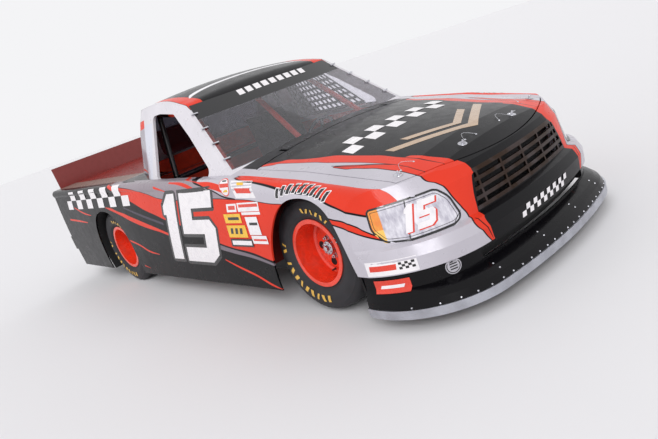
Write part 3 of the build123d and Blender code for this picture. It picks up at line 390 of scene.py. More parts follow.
def lamp_print(name):
    """A lamp face printed on vinyl and laid over a blank nose: cloudy silver-white with streaks, an amber end
    and a dark joint line."""
    material, tree, place = begin(name)
    _, out, z = spot(tree, place)
    streaked = add(tree, "Mapping", {"Vector": place, "Scale": (1, 1.4, 0.5)})
    cloud = add(tree, "TexNoise", {"Vector": streaked, "Scale": 26, "Detail": 5, "Roughness": 0.65})
    tint = faded(tree, cloud, 0.35, 0.68, "#E6E4EC", "#A8A4B4")
    # a paler patch in the middle, as of a bulb and its bowl
    glow = stripe(tree, tint, z, out, [(470, 740), (520, 700), (570, 720), (600, 750)],
                  [(470, 750), (520, 790), (570, 780), (600, 760)], "#F4F2F8")
    tint = laid(tree, [0.6], tint, glow)
    amber = faded(tree, cloud, 0.35, 0.65, "#F2A638", "#E8822A")
    amber = stripe(tree, amber, z, out, [(400, 900), (500, 890), (525, 890)],
                   [(400, 1000), (500, 1000), (525, 1000)], "#F6C45A")
    amber_edge = drawn_edge(tree, z, [(400, 905), (500, 900), (580, 893), (700, 885)])
    tint = laid(tree, [past(tree, out, amber_edge)], tint, amber)
    tint = stripe(tree, tint, z, out, [(400, 840), (700, 772)], [(400, 845), (700, 777)], "#2A2830")
    return shaded(material, {
        "Base Color": tint, "IOR": 1.5, "Roughness": 0.2, "Coat Weight": 1, "Coat Roughness": 0.03,
        "Normal": add(tree, "Bump", {"Height": cloud, "Distance": 0.0004, "Strength": 0.3})})


def seat_cloth(name):
    """Woven nylon over foam: a 3 mm weave, drawn about twice as coarse as real, with a faint sheen."""
    material, tree, place = begin(name)
    weave = add(tree, "TexChecker", {"Vector": place, "Scale": 330}, "Fac")
    wear = add(tree, "TexNoise", {"Vector": place, "Scale": 40, "Detail": 4})
    return shaded(material, {
        "Base Color": laid(tree, [wear], "#121115", "#232128"),
        "Roughness": 0.8, "IOR": 1.5, "Sheen Weight": 0.3,
        "Normal": add(tree, "Bump", {"Height": weave, "Distance": 0.0005, "Strength": 0.4})})


def vinyl(name, tint, rough=0.25):
    """Cut sticker vinyl, calendered: smooth, even gloss, a little darker where it was smeared."""
    material, tree, place = begin(name)
    smear = add(tree, "TexNoise", {"Vector": place, "Scale": 25, "Detail": 4})
    red, green, blue, _ = colour(tint)
    return shaded(material, {
        "Base Color": faded(tree, smear, 0.45, 0.85, tint, (red * 0.82, green * 0.82, blue * 0.84, 1)),
        "Roughness": add(tree, "MapRange", (smear, 0.3, 0.7, rough - 0.05, rough + 0.12)),
        "IOR": 1.5, "Coat Weight": 0.4, "Coat Roughness": 0.08})


flank_paint = race_paint("race_paint_flanks", side_design)
hood_paint = race_paint("race_paint_hood", top_design)
nose_paint = race_paint("race_paint_nose", nose_design)
cab_paint = race_paint("race_paint_cab", cab_design)
black_paint = race_paint("race_paint_black", lambda tree, place: BLACK)
deck_paint = race_paint("deck_paint", deck_design)
cage_enamel = red_enamel("red_enamel_tube", "#F2482C", padded_behind=-120)
wheel_enamel = red_enamel("red_enamel_wheel", "#EE3F24", 0.3)
inner_enamel = red_enamel("red_enamel_inside", "#7E211C", 0.5)
wall_enamel = red_enamel("red_enamel_cab_wall", "#E8482E", 0.5)
chassis_paint = satin_black("satin_chassis_paint")
dash_paint = satin_black("crackle_black_dash", "#101014", 0.6)
lip_aluminium = bare_metal("rolled_aluminium_lip", "#C4C6CE", 0.3, (3, 3, 60))
pipe_steel = bare_metal("drawn_steel_pipe", "#8D8A88", 0.35)
zinc = bare_metal("zinc_plated_steel", "#D8D8DE", 0.22)
slat_bronze = bare_metal("smoked_bronze_slats", "#3C2E26", 0.38, (3, 3, 60))
iron = cast_metal("sand_cast_iron")
rubber = slick_rubber("slick_tyre_rubber")
screen_sheet = clear_sheet("polycarbonate_screen", "#DCDAE4", "#C8C6D0", sunband=True)
back_sheet = clear_sheet("polycarbonate_back", "#38363E", "#2E2C34")
lamp_face = lamp_print("printed_lamp_face")
cloth = seat_cloth("woven_seat_cover")
# near-black satin that stands for shade: the brake vent mouths, the sheets behind the nose's openings and the arch
# liners are painted shade
painted_shade_black = satin_black("painted_shade_black_satin", "#08080A", 0.7)
white_vinyl = vinyl("cut_vinyl_white", WHITE)
black_vinyl = vinyl("cut_vinyl_black", BLACK)
grey_vinyl = vinyl("cut_vinyl_grey", "#BDBAC2")
red_vinyl = vinyl("cut_vinyl_red", RED)
yellow_vinyl = vinyl("cut_vinyl_yellow", YELLOW)
tan_vinyl = vinyl("cut_vinyl_tan", TAN)
yellow_ink = vinyl("tyre_marking_yellow", "#DCAE48", 0.55)

NODE_MATERIALS = {
    nose_paint: ["nose_fascia"],
    hood_paint: ["hood"],
    cab_paint: ["cab_shell"],
    flank_paint: ["fender_left", "fender_right", "door_left", "door_right", "bed_side_left", "bed_side_right"],
    black_paint: ["cowl", "air_dam", "tailgate", "rear_bumper"],
    slat_bronze: ["grille"],
    deck_paint: ["deck"],
    inner_enamel: ["floor_pan", "firewall", "spoiler"],
    wall_enamel: ["rear_bulkhead"],
    cage_enamel: ["roll_cage"],
    wheel_enamel: ["wheel_fl", "wheel_fr", "wheel_rl", "wheel_rr"],
    chassis_paint: ["rear_axle", "frame", "control_arms", "trailing_arms", "knuckle_left", "knuckle_right",
                    "fuel_cell"],
    dash_paint: ["dash", "steering_wheel"],
    lip_aluminium: ["splitter_lip"],
    pipe_steel: ["driveline", "exhaust"],
    iron: ["engine_block"],
    rubber: ["tyre_fl", "tyre_fr", "tyre_rl", "tyre_rr"],
    screen_sheet: ["windshield"],
    back_sheet: ["rear_window"],
    lamp_face: ["headlamp_left", "headlamp_right"],
    cloth: ["seat"],
}
for material, names in NODE_MATERIALS.items():
    for name in names:
        nodes[name].data.materials.clear()
        nodes[name].data.materials.append(material)


# New pieces

def surface_of(names):
    """The outside of some CAD nodes, to lay stickers and fasteners on."""
    points, faces = [], []
    for name in names:
        mesh = nodes[name].data
        base = len(points)
        points += [v.co.copy() for v in mesh.vertices]
        faces += [[base + i for i in p.vertices] for p in mesh.polygons]
    return BVHTree.FromPolygons(points, faces)


def put(name, data):
    """Makes an object of this data and puts it in the scene."""
    made = bpy.data.objects.new(name, data)
    bpy.context.scene.collection.objects.link(made)
    return made


def finish_piece(name, bm, materials, body, smooth=0.6, replaces=()):
    """Turns a finished mesh into a piece that rides on a body."""
    mesh = bpy.data.meshes.new(name)
    bm.to_mesh(mesh)
    bm.free()
    for material in materials:
        mesh.materials.append(material)
    piece = put(name, mesh)
    mesh.shade_smooth()
    mesh.set_sharp_from_angle(angle=smooth)
    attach(piece, body)
    for node in replaces:
        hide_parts(node)
    return piece


# Shapes of one drawing lie this far over each other, metres
LAYER = 0.0003


def cut_grid(bm, spacing):
    """Cuts a flat outline both ways at even steps, so that it can bend with the panel under it."""
    for axis in (0, 1):
        values = [v.co[axis] for v in bm.verts]
        step = math.floor(min(values) / spacing) * spacing + spacing
        while step < max(values):
            cut_at = Vector((0, 0, 0))
            cut_at[axis] = step
            normal = Vector((0, 0, 0))
            normal[axis] = 1
            bmesh.ops.bisect_plane(bm, geom=bm.verts[:] + bm.edges[:] + bm.faces[:], plane_co=cut_at,
                                   plane_no=normal, dist=1e-6)
            step += spacing


def facing(origin, right, up):
    """The plane of a sticker: across and up as its reader sees them, and out of the panel."""
    right, up = Vector(right).normalized(), Vector(up).normalized()
    turn = Matrix((right, up, right.cross(up))).transposed().to_4x4()
    return Matrix.Translation(Vector(origin)) @ turn


def pressed(bm, plane, tree, lift, spacing=0.03):
    """Presses a flat drawing on the panel behind its plane."""
    cut_grid(bm, spacing)
    inward = -plane.to_3x3().col[2]
    for vert in bm.verts:
        layer = vert.co.z
        start_at = plane @ vert.co
        hit, normal, _, _ = tree.ray_cast(start_at - inward * 1.5, inward)
        if hit is None:
            hit, normal, _, _ = tree.find_nearest(start_at)
        if normal.dot(inward) > 0:
            normal = -normal
        vert.co = hit + normal * (lift + layer)
    for face in bm.faces:
        face.normal_update()
        if face.normal.dot(inward) > 0:
            face.normal_flip()


def drawn(bm, outline, material=0, layer=None):
    """One flat shape; unless its layer is given, each shape of a drawing lies a little above those before."""
    height = (len(bm.faces) if layer is None else layer) * LAYER
    face = bm.faces.new([bm.verts.new((across, up, height)) for across, up in outline])
    face.material_index = material
    return face


def oblong(bm, left, low, right, high, lean=0.0, material=0, layer=None):
    """A four-sided patch, leaning as fast-looking graphics do."""
    tilt = lean * (high - low)
    return drawn(bm, [(left, low), (right, low), (right + tilt, high), (left + tilt, high)], material, layer)


def disc(bm, centre, radius, material=0, count=28, layer=None):
    """A round patch."""
    turns = [2 * math.pi * i / count for i in range(count)]
    return drawn(bm, [(centre[0] + radius * math.cos(t), centre[1] + radius * math.sin(t)) for t in turns],
                 material, layer)


def bordered(bm, outline, width, material=0, edge_material=1):
    """A flat shape on an even border with round corners: a strip along each side, then a disc on each corner."""
    for a, b in zip(outline, outline[1:] + outline[:1]):
        a, b = Vector(a), Vector(b)
        side = (b - a).orthogonal().normalized() * width
        drawn(bm, [tuple(a + side), tuple(a - side), tuple(b - side), tuple(b + side)], edge_material, 0)
        disc(bm, a, width, edge_material, 14, 0)
    return drawn(bm, outline, material, 2)


def sticker(name, plane, tree, draw, materials, lift=0.0007, body="body", spacing=0.03):
    """A drawing pressed on a surface, as a piece of its own."""
    bm = bmesh.new()
    draw(bm)
    pressed(bm, plane, tree, lift, spacing)
    return finish_piece(name, bm, materials, body)


flank = {name: surface_of(["fender_" + name, "door_" + name, "bed_side_" + name, "nose_fascia", "air_dam"])
         for name in SIDES}
hood_top = surface_of(["hood"])
nose_front = surface_of(["nose_fascia", "air_dam", "headlamp_left", "headlamp_right"])
screen_face = surface_of(["windshield"])


def flank_plane(side, along=0.0):
    """The plane of a flank: on the left the reader's right hand points to the tail."""
    sign = SIDES[side]
    return facing((along, sign * 1.0, 0), (-sign, 0, 0), (0, 0, 1))


# Plain race number in block figures, as unit outlines: across from 0 to 1, up from 0 to 1
FIGURES = {
    "one": [(0.3, 0), (1, 0), (1, 1), (0.5, 1), (0.12, 0.83), (0.12, 0.7), (0.3, 0.7)],
    "five": [(0, 0), (0.8, 0), (1, 0.12), (1, 0.5), (0.85, 0.62), (0.34, 0.62), (0.34, 0.78), (0.95, 0.78),
             (0.95, 1), (0, 1), (0, 0.42), (0.66, 0.42), (0.66, 0.22), (0, 0.22)],
}


def figure(name, corner, size, lean):
    """The outline of a figure of this width and height, leaning forwards."""
    return [(corner[0] + across * size[0] + lean * up * size[1], corner[1] + up * size[1])
            for across, up in FIGURES[name]]


def door_number(bm):
    """White block figures with a black edge, leaning forwards, set about the middle of the door."""
    for key, corner, size in (("one", (-0.52, 0.322), (0.225, 0.53)), ("five", (-0.225, 0.31), (0.47, 0.54))):
        bordered(bm, figure(key, corner, size, 0.45), 0.026)


def lamp_number(bm):
    """The same number in white on a red shadow."""
    for key, corner, size in (("one", (-0.075, -0.07), (0.05, 0.135)), ("five", (0.0, -0.07), (0.095, 0.135))):
        drawn(bm, figure(key, (corner[0] + 0.008, corner[1] - 0.006), size, 0.25), 1, 0)
        drawn(bm, figure(key, corner, size, 0.25), 0, 1)


def chequers(columns, rows, cell, lean, corner):
    """A plain chequered band."""
    def draw(bm):
        for row in range(rows):
            for column in range(columns):
                if (row + column) % 2:
                    continue
                low = corner[1] + row * cell[1]
                left = corner[0] + column * cell[0] + lean * row * cell[1]
                oblong(bm, left, low, left + cell[0], low + cell[1], lean)
    return draw


def slanted_bars(bars, low, high, lean):
    """A row of plain leaning bars, each from one place across to another."""
    def draw(bm):
        for left, right in bars:
            oblong(bm, left, low, right, high, lean)
    return draw


def chevrons(bm):
    """Two nested chevrons, pointing forwards."""
    for reach, tip, width in ((0.46, -0.2, 0.04), (0.3, -0.09, 0.035)):
        wing = tip + reach * 0.55
        drawn(bm, [(0, tip), (reach, wing), (reach, wing + width * 1.6), (0, tip + width * 1.6)])
        drawn(bm, [(0, tip), (0, tip + width * 1.6), (-reach, wing + width * 1.6), (-reach, wing)])


def patches(bm, rows):
    """Plain four-sided patches, each from left, low, right, high, lean and material."""
    for row in rows:
        oblong(bm, *row)


def fender_stickers(bm):
    """Plain coloured patches ahead of the door, each with a few bars; across is the way forwards."""
    white, black, red, yellow = range(4)
    marks = [(left, 0.54, left + 0.03, 0.58, 0.4, black) for left in (0.845, 0.9, 0.955)]
    patches(bm, (
        (0.885, 0.69, 1.0, 0.745, 0.35, white), (0.91, 0.705, 0.99, 0.732, 0.35, red),
        (1.02, 0.69, 1.255, 0.748, 0.2, white), (1.04, 0.718, 1.25, 0.738, 0.2, red),
        (1.05, 0.668, 1.255, 0.686, 0.1, white),
        (0.825, 0.615, 1.022, 0.678, 0.1, yellow), (0.87, 0.636, 1.0, 0.656, 0.1, black),
        (0.81, 0.515, 1.035, 0.6, 0.12, yellow), *marks,
        (1.07, 0.535, 1.2, 0.655, 0.06, white), (1.1, 0.6, 1.19, 0.618, 0.3, black),
        (0.8, 0.45, 1.06, 0.505, 0.25, black), (0.82, 0.462, 1.05, 0.493, 0.25, white),
        (1.075, 0.475, 1.24, 0.53, 0.06, white), (1.09, 0.494, 1.235, 0.508, 0.06, red),
    ))


def nose_stickers(bm):
    """Two plain patches on the corner of the nose, drawn from their rear end forwards."""
    white, black, red = range(3)
    wide, tall = 0.014, 0.013
    cells = [(0.145 + column * wide, 0.322 + row * tall, 0.145 + (column + 1) * wide, 0.322 + (row + 1) * tall,
              0, black, 3) for column in range(5) for row in range(3) if (column + row) % 2 == 0]
    patches(bm, ((-0.03, 0.3, 0.225, 0.378, 0, white), (-0.012, 0.325, 0.13, 0.356, 0.15, red), *cells,
                 (-0.02, 0.196, 0.165, 0.268, 0, red), (0.01, 0.222, 0.13, 0.24, 0.5, white)))


def ringed_patch(bm):
    """A plain round patch with a dark ring and three bars."""
    grey, black = range(2)
    disc(bm, (0, 0), 0.042, grey, layer=0)
    disc(bm, (0, 0), 0.037, black, layer=1)
    disc(bm, (0, 0), 0.032, grey, layer=2)
    for up in (-0.014, 0.0, 0.014):
        oblong(bm, -0.02, up - 0.0035, 0.02, up + 0.0035, 0.3, black, 3)


def shoulder_patches(bm):
    """Plain patches on the shoulder over the door's front edge, and a bow of short dark bars over the arch."""
    white, black, red, yellow = range(4)
    disc(bm, (0.944, -0.008), 0.057, red, layer=0)
    disc(bm, (0.944, -0.008), 0.05, white, layer=1)
    oblong(bm, 0.898, -0.012, 0.992, 0.012, 0, red, 2)
    oblong(bm, 0.915, -0.04, 0.973, -0.026, 0, yellow, 2)
    oblong(bm, 0.925, 0.024, 0.965, 0.034, 0, black, 2)
    drawn(bm, [(1.045, -0.079), (1.262, -0.088), (1.222, 0.017), (1.012, 0.029)], white, 0)
    drawn(bm, [(1.068, -0.052), (1.225, -0.059), (1.216, -0.03), (1.057, -0.022)], red, 1)
    drawn(bm, [(1.085, -0.005), (1.15, -0.008), (1.142, 0.01), (1.078, 0.013)], yellow, 1)
    for along, up in ((1.475, -0.07), (1.522, -0.058), (1.569, -0.051), (1.616, -0.047), (1.663, -0.048),
                      (1.71, -0.055), (1.757, -0.067), (1.804, -0.082), (1.85, -0.1)):
        turn = (1.62 - along) * 0.55
        lean = 0.008 - 0.034 * turn
        low, high = up - 0.027, up + 0.027
        bordered(bm, [(along - 0.012 - lean, low + 0.012 * turn), (along + 0.012 - lean, low - 0.012 * turn),
                      (along + 0.012 + lean, high - 0.012 * turn), (along - 0.012 + lean, high + 0.012 * turn)],
                 0.0055, black, white)


four_vinyls = [white_vinyl, black_vinyl, red_vinyl, yellow_vinyl]
for side, sign in SIDES.items():
    # the door and fender drawings are turned round on the left, so that figures read from left to right
    sticker("door_number_" + side, flank_plane(side, 0.3), flank[side], door_number, [white_vinyl, black_vinyl])
    sticker("bed_chequers_" + side, flank_plane(side, -1.37), flank[side],
            chequers(11, 2, (0.15, 0.092), 0.35, (-0.86, 0.79)), [white_vinyl])
    # these patches are the same on both sides, mirrored about the middle plane
    upright = Matrix(((1, 0, 0, 0), (0, 0, sign, sign), (0, 1, 0, 0), (0, 0, 0, 1)))
    sticker("fender_stickers_" + side, upright, flank[side], fender_stickers, four_vinyls)
    corner = facing((3.072, sign * 1.442, 0.256), (-sign, 1, 0), (0, 0, 1))
    sticker("ringed_patch_" + side, corner, flank[side], ringed_patch, [grey_vinyl, black_vinyl], spacing=0.02)
    leaning = Matrix(((1, 0, 0, 0), (0, -sign * 0.5, sign * 0.866, sign * 0.94), (0, 0.866, 0.5, 0.85),
                      (0, 0, 0, 1)))
    sticker("shoulder_patches_" + side, leaning, flank[side], shoulder_patches, four_vinyls, spacing=0.02)
    sticker("nose_stickers_" + side, Matrix.Translation((2.05, 0, 0)) @ upright, flank[side], nose_stickers,
            four_vinyls[:3], spacing=0.02)

sticker("hood_chequers", facing((1.6, 0, 2), (0, 1, 0), (-1, 0, 0)), hood_top,
        chequers(10, 2, (0.105, 0.1), 0.1, (-0.53, -0.1)), [white_vinyl], body="hood")
sticker("hood_chevrons", facing((2.0, 0, 2), (0, 1, 0), (-1, 0, 0)), hood_top, chevrons, [tan_vinyl], body="hood")
sticker("bumper_chequers", facing((3.0, 0.0, 0.332), (0, 1, 0), (0, 0, 1)), nose_front,
        chequers(14, 2, (0.036, 0.03), 0.2, (-0.26, -0.03)), [white_vinyl])
sticker("sunband_bars", facing((0.912, 0.06, 1.632), (0, 1, 0), (-0.5, 0, 0.85)), screen_face,
        slanted_bars([(-0.36 + i * 0.078, -0.305 + i * 0.078) for i in range(9)], -0.03, 0.03, 0.2),
        [white_vinyl])

# Wheels: each is modelled about its own axle and then set in place

def wheel_plane(x, sign, lean, z):
    """Across, up and outwards at a wheel's centre; the front axles lean."""
    outward = Vector((0, sign * math.cos(lean), math.sin(lean)))
    right = Vector((-sign, 0, 0))
    return facing((x, sign * TRACK_HALF, z), right, outward.cross(right))


WHEELS = {
    "fl": wheel_plane(FRONT_AXLE_X, 1, FRONT_LEAN, FRONT_CENTRE_Z),
    "fr": wheel_plane(FRONT_AXLE_X, -1, FRONT_LEAN, FRONT_CENTRE_Z),
    "rl": wheel_plane(REAR_AXLE_X, 1, 0.0, TYRE_RADIUS),
    "rr": wheel_plane(REAR_AXLE_X, -1, 0.0, TYRE_RADIUS),
}

# Half of the tyre's section from bead to crown: radius, and out from the wheel's middle
TYRE_HALF = [(0.1908, 0.1215), (0.2, 0.1225), (0.213, 0.1235), (0.222, 0.1305), (0.2345, 0.1405), (0.2365, 0.1415),
             (0.238, 0.1412), (0.254, 0.1462), (0.275, 0.1485), (0.2965, 0.1455), (0.319, 0.1395), (0.3215, 0.1395),
             (0.323, 0.138), (0.336, 0.1325), (0.3445, 0.1265), (0.3505, 0.119), (0.354, 0.1095), (0.3552, 0.098)]


def tyre(name):
    """A racing slick: beads in the rim, bulged sidewalls with a moulded ring at each shoulder, flat crown."""
    section = TYRE_HALF + [(0.3555, 0.05), (0.3555, 0.0), (0.3555, -0.05)]
    section += [(radius, -out) for radius, out in reversed(TYRE_HALF)]
    bm = bmesh.new()
    corners = [bm.verts.new((radius, 0, out)) for radius, out in section]
    edges = [bm.edges.new(pair) for pair in zip(corners, corners[1:])]
    bmesh.ops.spin(bm, geom=corners + edges, cent=(0, 0, 0), axis=(0, 0, 1), angle=2 * math.pi, steps=112,
                   use_merge=True)
    bmesh.ops.remove_doubles(bm, verts=bm.verts[:], dist=1e-5)
    bmesh.ops.recalc_face_normals(bm, faces=bm.faces[:])
    middle = max(bm.faces, key=lambda f: f.calc_center_median().xy.length)
    if middle.normal.dot(middle.calc_center_median()) < 0:
        bmesh.ops.reverse_faces(bm, faces=bm.faces[:])
    bm.transform(WHEELS[name])
    return bm


def around(radius, turn, out=0.0):
    """A place on a wheel from its radius, its turn in degrees and its way out from the wheel's middle."""
    angle = math.radians(turn)
    return Vector((radius * math.cos(angle), radius * math.sin(angle), out))


def tyre_marks(bm):
    """Plain yellow blocks round the sidewall, in rows: the first block's turn, count, pitch, the row's radius,
    and a block's width and height."""
    for first, count, pitch, reach, wide, tall in ((169, 2, 8, 0.277, 0.02, 0.034),
                                                   (194, 9, 10.3, 0.277, 0.024, 0.04),
                                                   (48, 6, 8.5, 0.268, 0.017, 0.026)):
        for step in range(count):
            out = around(1, first + pitch * step).xy
            along = Vector((-out.y, out.x))
            skew = along * (0.006 if step % 2 else -0.004)
            inner = out * (reach - tall / 2) - skew
            outer = out * (reach + tall / 2) + skew
            half = along * (wide / 2 if step % 3 else wide / 3)
            drawn(bm, [tuple(inner - half), tuple(inner + half), tuple(outer + half), tuple(outer - half)])


def knob(bm, at, outward, radius, height, material=0, sides=14, top=0.8, edge=0.25):
    """A small turned or hexagonal head standing on a surface, its upper edge eased."""
    made = bmesh.ops.create_cone(bm, cap_ends=True, segments=sides, radius1=radius, radius2=radius * top,
                                 depth=height)
    verts = made["verts"]
    rim = [e for e in {e for v in verts for e in v.link_edges} if all(v.co.z > 0 for v in e.verts)]
    eased = bmesh.ops.bevel(bm, geom=rim, offset=radius * edge, affect="EDGES", segments=2, profile=0.5, material=-1)
    verts = {v for v in verts if v.is_valid} | set(eased["verts"])
    turn = Vector((0, 0, 1)).rotation_difference(Vector(outward)).to_matrix().to_4x4()
    place = Matrix.Translation(Vector(at) + Vector(outward).normalized() * height / 2) @ turn
    for vert in verts:
        vert.co = place @ vert.co
    for face in {f for v in verts for f in v.link_faces}:
        face.material_index = material


def rod(bm, ends, radius, material=0, sides=10):
    """A straight round bar between two points."""
    a, b = Vector(ends[0]), Vector(ends[1])
    knob(bm, a, b - a, radius, (b - a).length, material, sides, 1.0, 0.1)


# Circles on a wheel, metres
LUG_CIRCLE = 0.0635
HUB_BOLT_CIRCLE = 0.033
VENT_CIRCLE = 0.108
VALVE_CIRCLE = 0.168
WEIGHT_CIRCLE = 0.2085


def wheel_fittings(name):
    """Lug nuts on the disc, the hub with its ring of bolts, vent mouths of painted shade, the tyre valve and balance
    weights.
    """
    plane = WHEELS[name]
    outward = plane.to_3x3().col[2]
    disc_face = surface_of(["wheel_" + name])
    bm = bmesh.new()

    def on_disc(radius, turn):
        hit, _, _, _ = disc_face.ray_cast(plane @ around(radius, turn, 0.3), -outward)
        return hit or plane @ around(radius, turn, -0.01)

    for step in range(5):
        at = on_disc(LUG_CIRCLE, 126 + 72 * step)
        knob(bm, at, outward, 0.0155, 0.006, 0, 20, 0.95)
        knob(bm, at, outward, 0.0135, 0.024, 0, 6, 0.94, 0.12)
        knob(bm, at, outward, 0.0065, 0.034, 0, 12, 0.9)
    hub = on_disc(0, 0)
    knob(bm, hub - outward * 0.045, outward, 0.045, 0.051, 0, 36, 0.95, 0.12)
    knob(bm, hub, outward, 0.02, 0.024, 0, 6, 0.92, 0.15)
    for step in range(8):
        at = hub + plane.to_3x3() @ around(HUB_BOLT_CIRCLE, 45 * step + 10, 0.004)
        knob(bm, at, outward, 0.0045, 0.009, 0, 8)
    for step in range(5):
        # painted shade: near-black discs for the dark mouths of the brake vents, a little wider than the holes, just
        # proud of the disc beside them
        turn = 36 + 72 * step
        level = (plane.inverted() @ on_disc(VENT_CIRCLE, turn + 20)).z
        knob(bm, plane @ around(VENT_CIRCLE, turn, level - 0.0006), outward, 0.025, 0.002, 2, 24, 0.96, 0.03)
    knob(bm, on_disc(VALVE_CIRCLE, 250), outward, 0.006, 0.03, 1, 10)
    for turn in (20, 27, 200):
        knob(bm, plane @ around(WEIGHT_CIRCLE, turn, 0.124), outward, 0.0075, 0.006, 0, 4, 0.9)
    return bm


for name, plane in WHEELS.items():
    body = "roll_" + name
    bm = tyre(name)
    round_tyre = finish_piece("tyre_slick_" + name, bm, [rubber], body, 0.5, ["tyre_" + name])
    sidewall = BVHTree.FromPolygons([v.co for v in round_tyre.data.vertices],
                                    [p.vertices for p in round_tyre.data.polygons])
    sticker("tyre_marks_" + name, plane, sidewall, tyre_marks, [yellow_ink], 0.0004, body, 0.012)
    finish_piece("wheel_fittings_" + name, wheel_fittings(name), [zinc, rubber, painted_shade_black], body)


# Headlamp edge, dark backings of painted shade, fasteners

LAMP_OUTLINE = [(-0.226, 0.096), (0.137, 0.094), (0.194, 0.034), (0.23, -0.079), (0.198, -0.11), (-0.049, -0.11),
                (-0.172, -0.09), (-0.228, -0.017)]


def lamp_edge(side):
    """The black line round the lamp, and a fine one inside it where the lens begins."""
    def draw(bm):
        for inset, width in ((0.0, 0.0095), (0.019, 0.0022)):
            before = set(bm.faces)
            face = drawn(bm, [(-SIDES[side] * across, up) for across, up in LAMP_OUTLINE], 0, 0)
            bmesh.ops.bevel(bm, geom=face.verts[:], offset=0.03, affect="VERTICES", segments=6, profile=0.5,
                            material=-1, clamp_overlap=True)
            face = (set(bm.faces) - before).pop()
            for thickness in (inset, width):
                if thickness:
                    ring = bmesh.ops.inset_region(bm, faces=[face], thickness=thickness, use_boundary=True,
                                                  use_even_offset=True)
                    if thickness == inset:
                        bmesh.ops.delete(bm, geom=ring["faces"], context="FACES")
            bmesh.ops.delete(bm, geom=[face], context="FACES")
    return draw


def lamp_plane(side):
    """The plane that faces a lamp from the corner of the nose."""
    sign, turn = SIDES[side], math.radians(50)
    origin = (2.25 + math.cos(turn), sign * (0.78 + math.sin(turn)), 0.546)
    return facing(origin, (-sign * math.sin(turn), math.cos(turn), 0), (0, 0, 1))


for side in SIDES:
    sticker("lamp_edge_" + side, lamp_plane(side), nose_front, lamp_edge(side), [black_vinyl], 0.0014,
            spacing=0.02)
    sticker("lamp_number_" + side, lamp_plane(side), nose_front, lamp_number, [white_vinyl, red_vinyl], 0.0007,
            spacing=0.02)


def thickened(bm, thickness):
    """Faces outwards what was drawn so far and gives it a thickness."""
    bmesh.ops.recalc_face_normals(bm, faces=bm.faces[:])
    bmesh.ops.solidify(bm, geom=bm.faces[:], thickness=thickness)
    return bm


def on_both_sides(build):
    """One mesh with what build draws on the left and on the right."""
    bm = bmesh.new()
    for sign in SIDES.values():
        build(bm, sign)
    return bm


NOSE_BOW = 3.266  # radius of the nose's front seen from above, metres


def bowed_sheet(name, front_x, half, low, high):
    """A near-black sheet behind an opening of the nose, bowed to the same arc; its black is painted shade for the
    dark inside the nose.
    """
    bm = bmesh.new()
    bmesh.ops.create_grid(bm, x_segments=16, y_segments=2, size=1.0)
    for vert in bm.verts:
        across, up = vert.co.x * half, low + (vert.co.y + 1) / 2 * (high - low)
        vert.co = (front_x - across * across / (2 * NOSE_BOW), across, up)
    finish_piece(name, thickened(bm, 0.003), [painted_shade_black], "body")


bowed_sheet("grille_screen", 2.358, 0.5, 0.37, 0.66)
bowed_sheet("slot_screen", 2.44, 0.6, 0.21, 0.285)


def share_of(value, start, end):
    """How far a value has come from start to end, from 0 to 1."""
    return min(max((value - start) / (end - start), 0.0), 1.0)


def taper_cab(bm, most=0.19):
    """Draws the rear quarters of the cab in towards the bed, most at the belt and not at the roof."""
    for vert in bm.verts:
        back = share_of(vert.co.x, -0.16, -0.66)
        back = back * back * (3 - 2 * back)
        low = share_of(vert.co.z, 1.47, 0.92)
        outer = share_of(abs(vert.co.y), 0.35, 0.65)
        vert.co.y -= math.copysign(most * back * low * outer, vert.co.y)


bm = bmesh.new()
bm.from_mesh(nodes["cab_shell"].data)
bmesh.ops.remove_doubles(bm, verts=bm.verts[:], dist=1e-5)
bmesh.ops.triangulate(bm, faces=bm.faces[:])
taper_cab(bm)
finish_piece("cab_skin", bm, [cab_paint], "body", 0.6, ["cab_shell"])


def belt_shelf(bm, sign):
    """The narrow shelf between the foot of the cab and the top of the body side."""
    stations = ((-0.7, 0.985), (-0.52, 0.972), (-0.34, 0.962), (-0.16, 0.955))
    rows = [[bm.verts.new((x, sign * y, z)) for y in (0.7, 0.8, 0.92)] for x, z in stations]
    for near, far in zip(rows, rows[1:]):
        bmesh.ops.contextual_create(bm, geom=[near[0], near[1], far[0], far[1]])
        bmesh.ops.contextual_create(bm, geom=[near[1], near[2], far[1], far[2]])


bm = on_both_sides(belt_shelf)
bmesh.ops.recalc_face_normals(bm, faces=bm.faces[:])
if bm.faces[:][0].normal.z < 0:
    bmesh.ops.reverse_faces(bm, faces=bm.faces[:])
bmesh.ops.solidify(bm, geom=bm.faces[:], thickness=0.002)
finish_piece("belt_shelves", bm, [black_paint], "body")


def door_liner(bm, sign):
    """A red inner sheet behind the door with two pressed beads along it."""
    for vert in bmesh.ops.create_grid(bm, x_segments=24, y_segments=20, size=1.0)["verts"]:
        along, up = vert.co.x, vert.co.y
        bead = 0.006 if abs(abs(up) - 0.4) < 0.11 and abs(along) < 0.86 else 0.0
        vert.co = (0.24 + along * 0.62, sign * (0.885 - bead), 0.66 + up * 0.235)


finish_piece("door_liners", thickened(on_both_sides(door_liner), 0.0015), [wall_enamel], "body")

# The red sheet inside the cab's back, below the rear window
bm = bmesh.new()
for vert in bmesh.ops.create_grid(bm, x_segments=18, y_segments=5, size=1.0)["verts"]:
    across, up = vert.co.x, (vert.co.y + 1) / 2
    vert.co = (-0.672 + 0.075 * up + 0.02 * across * across, across * (0.74 - 0.14 * up), 0.885 + 0.15 * up)
finish_piece("cab_wall_liner", thickened(bm, 0.0015), [wall_enamel], "body")


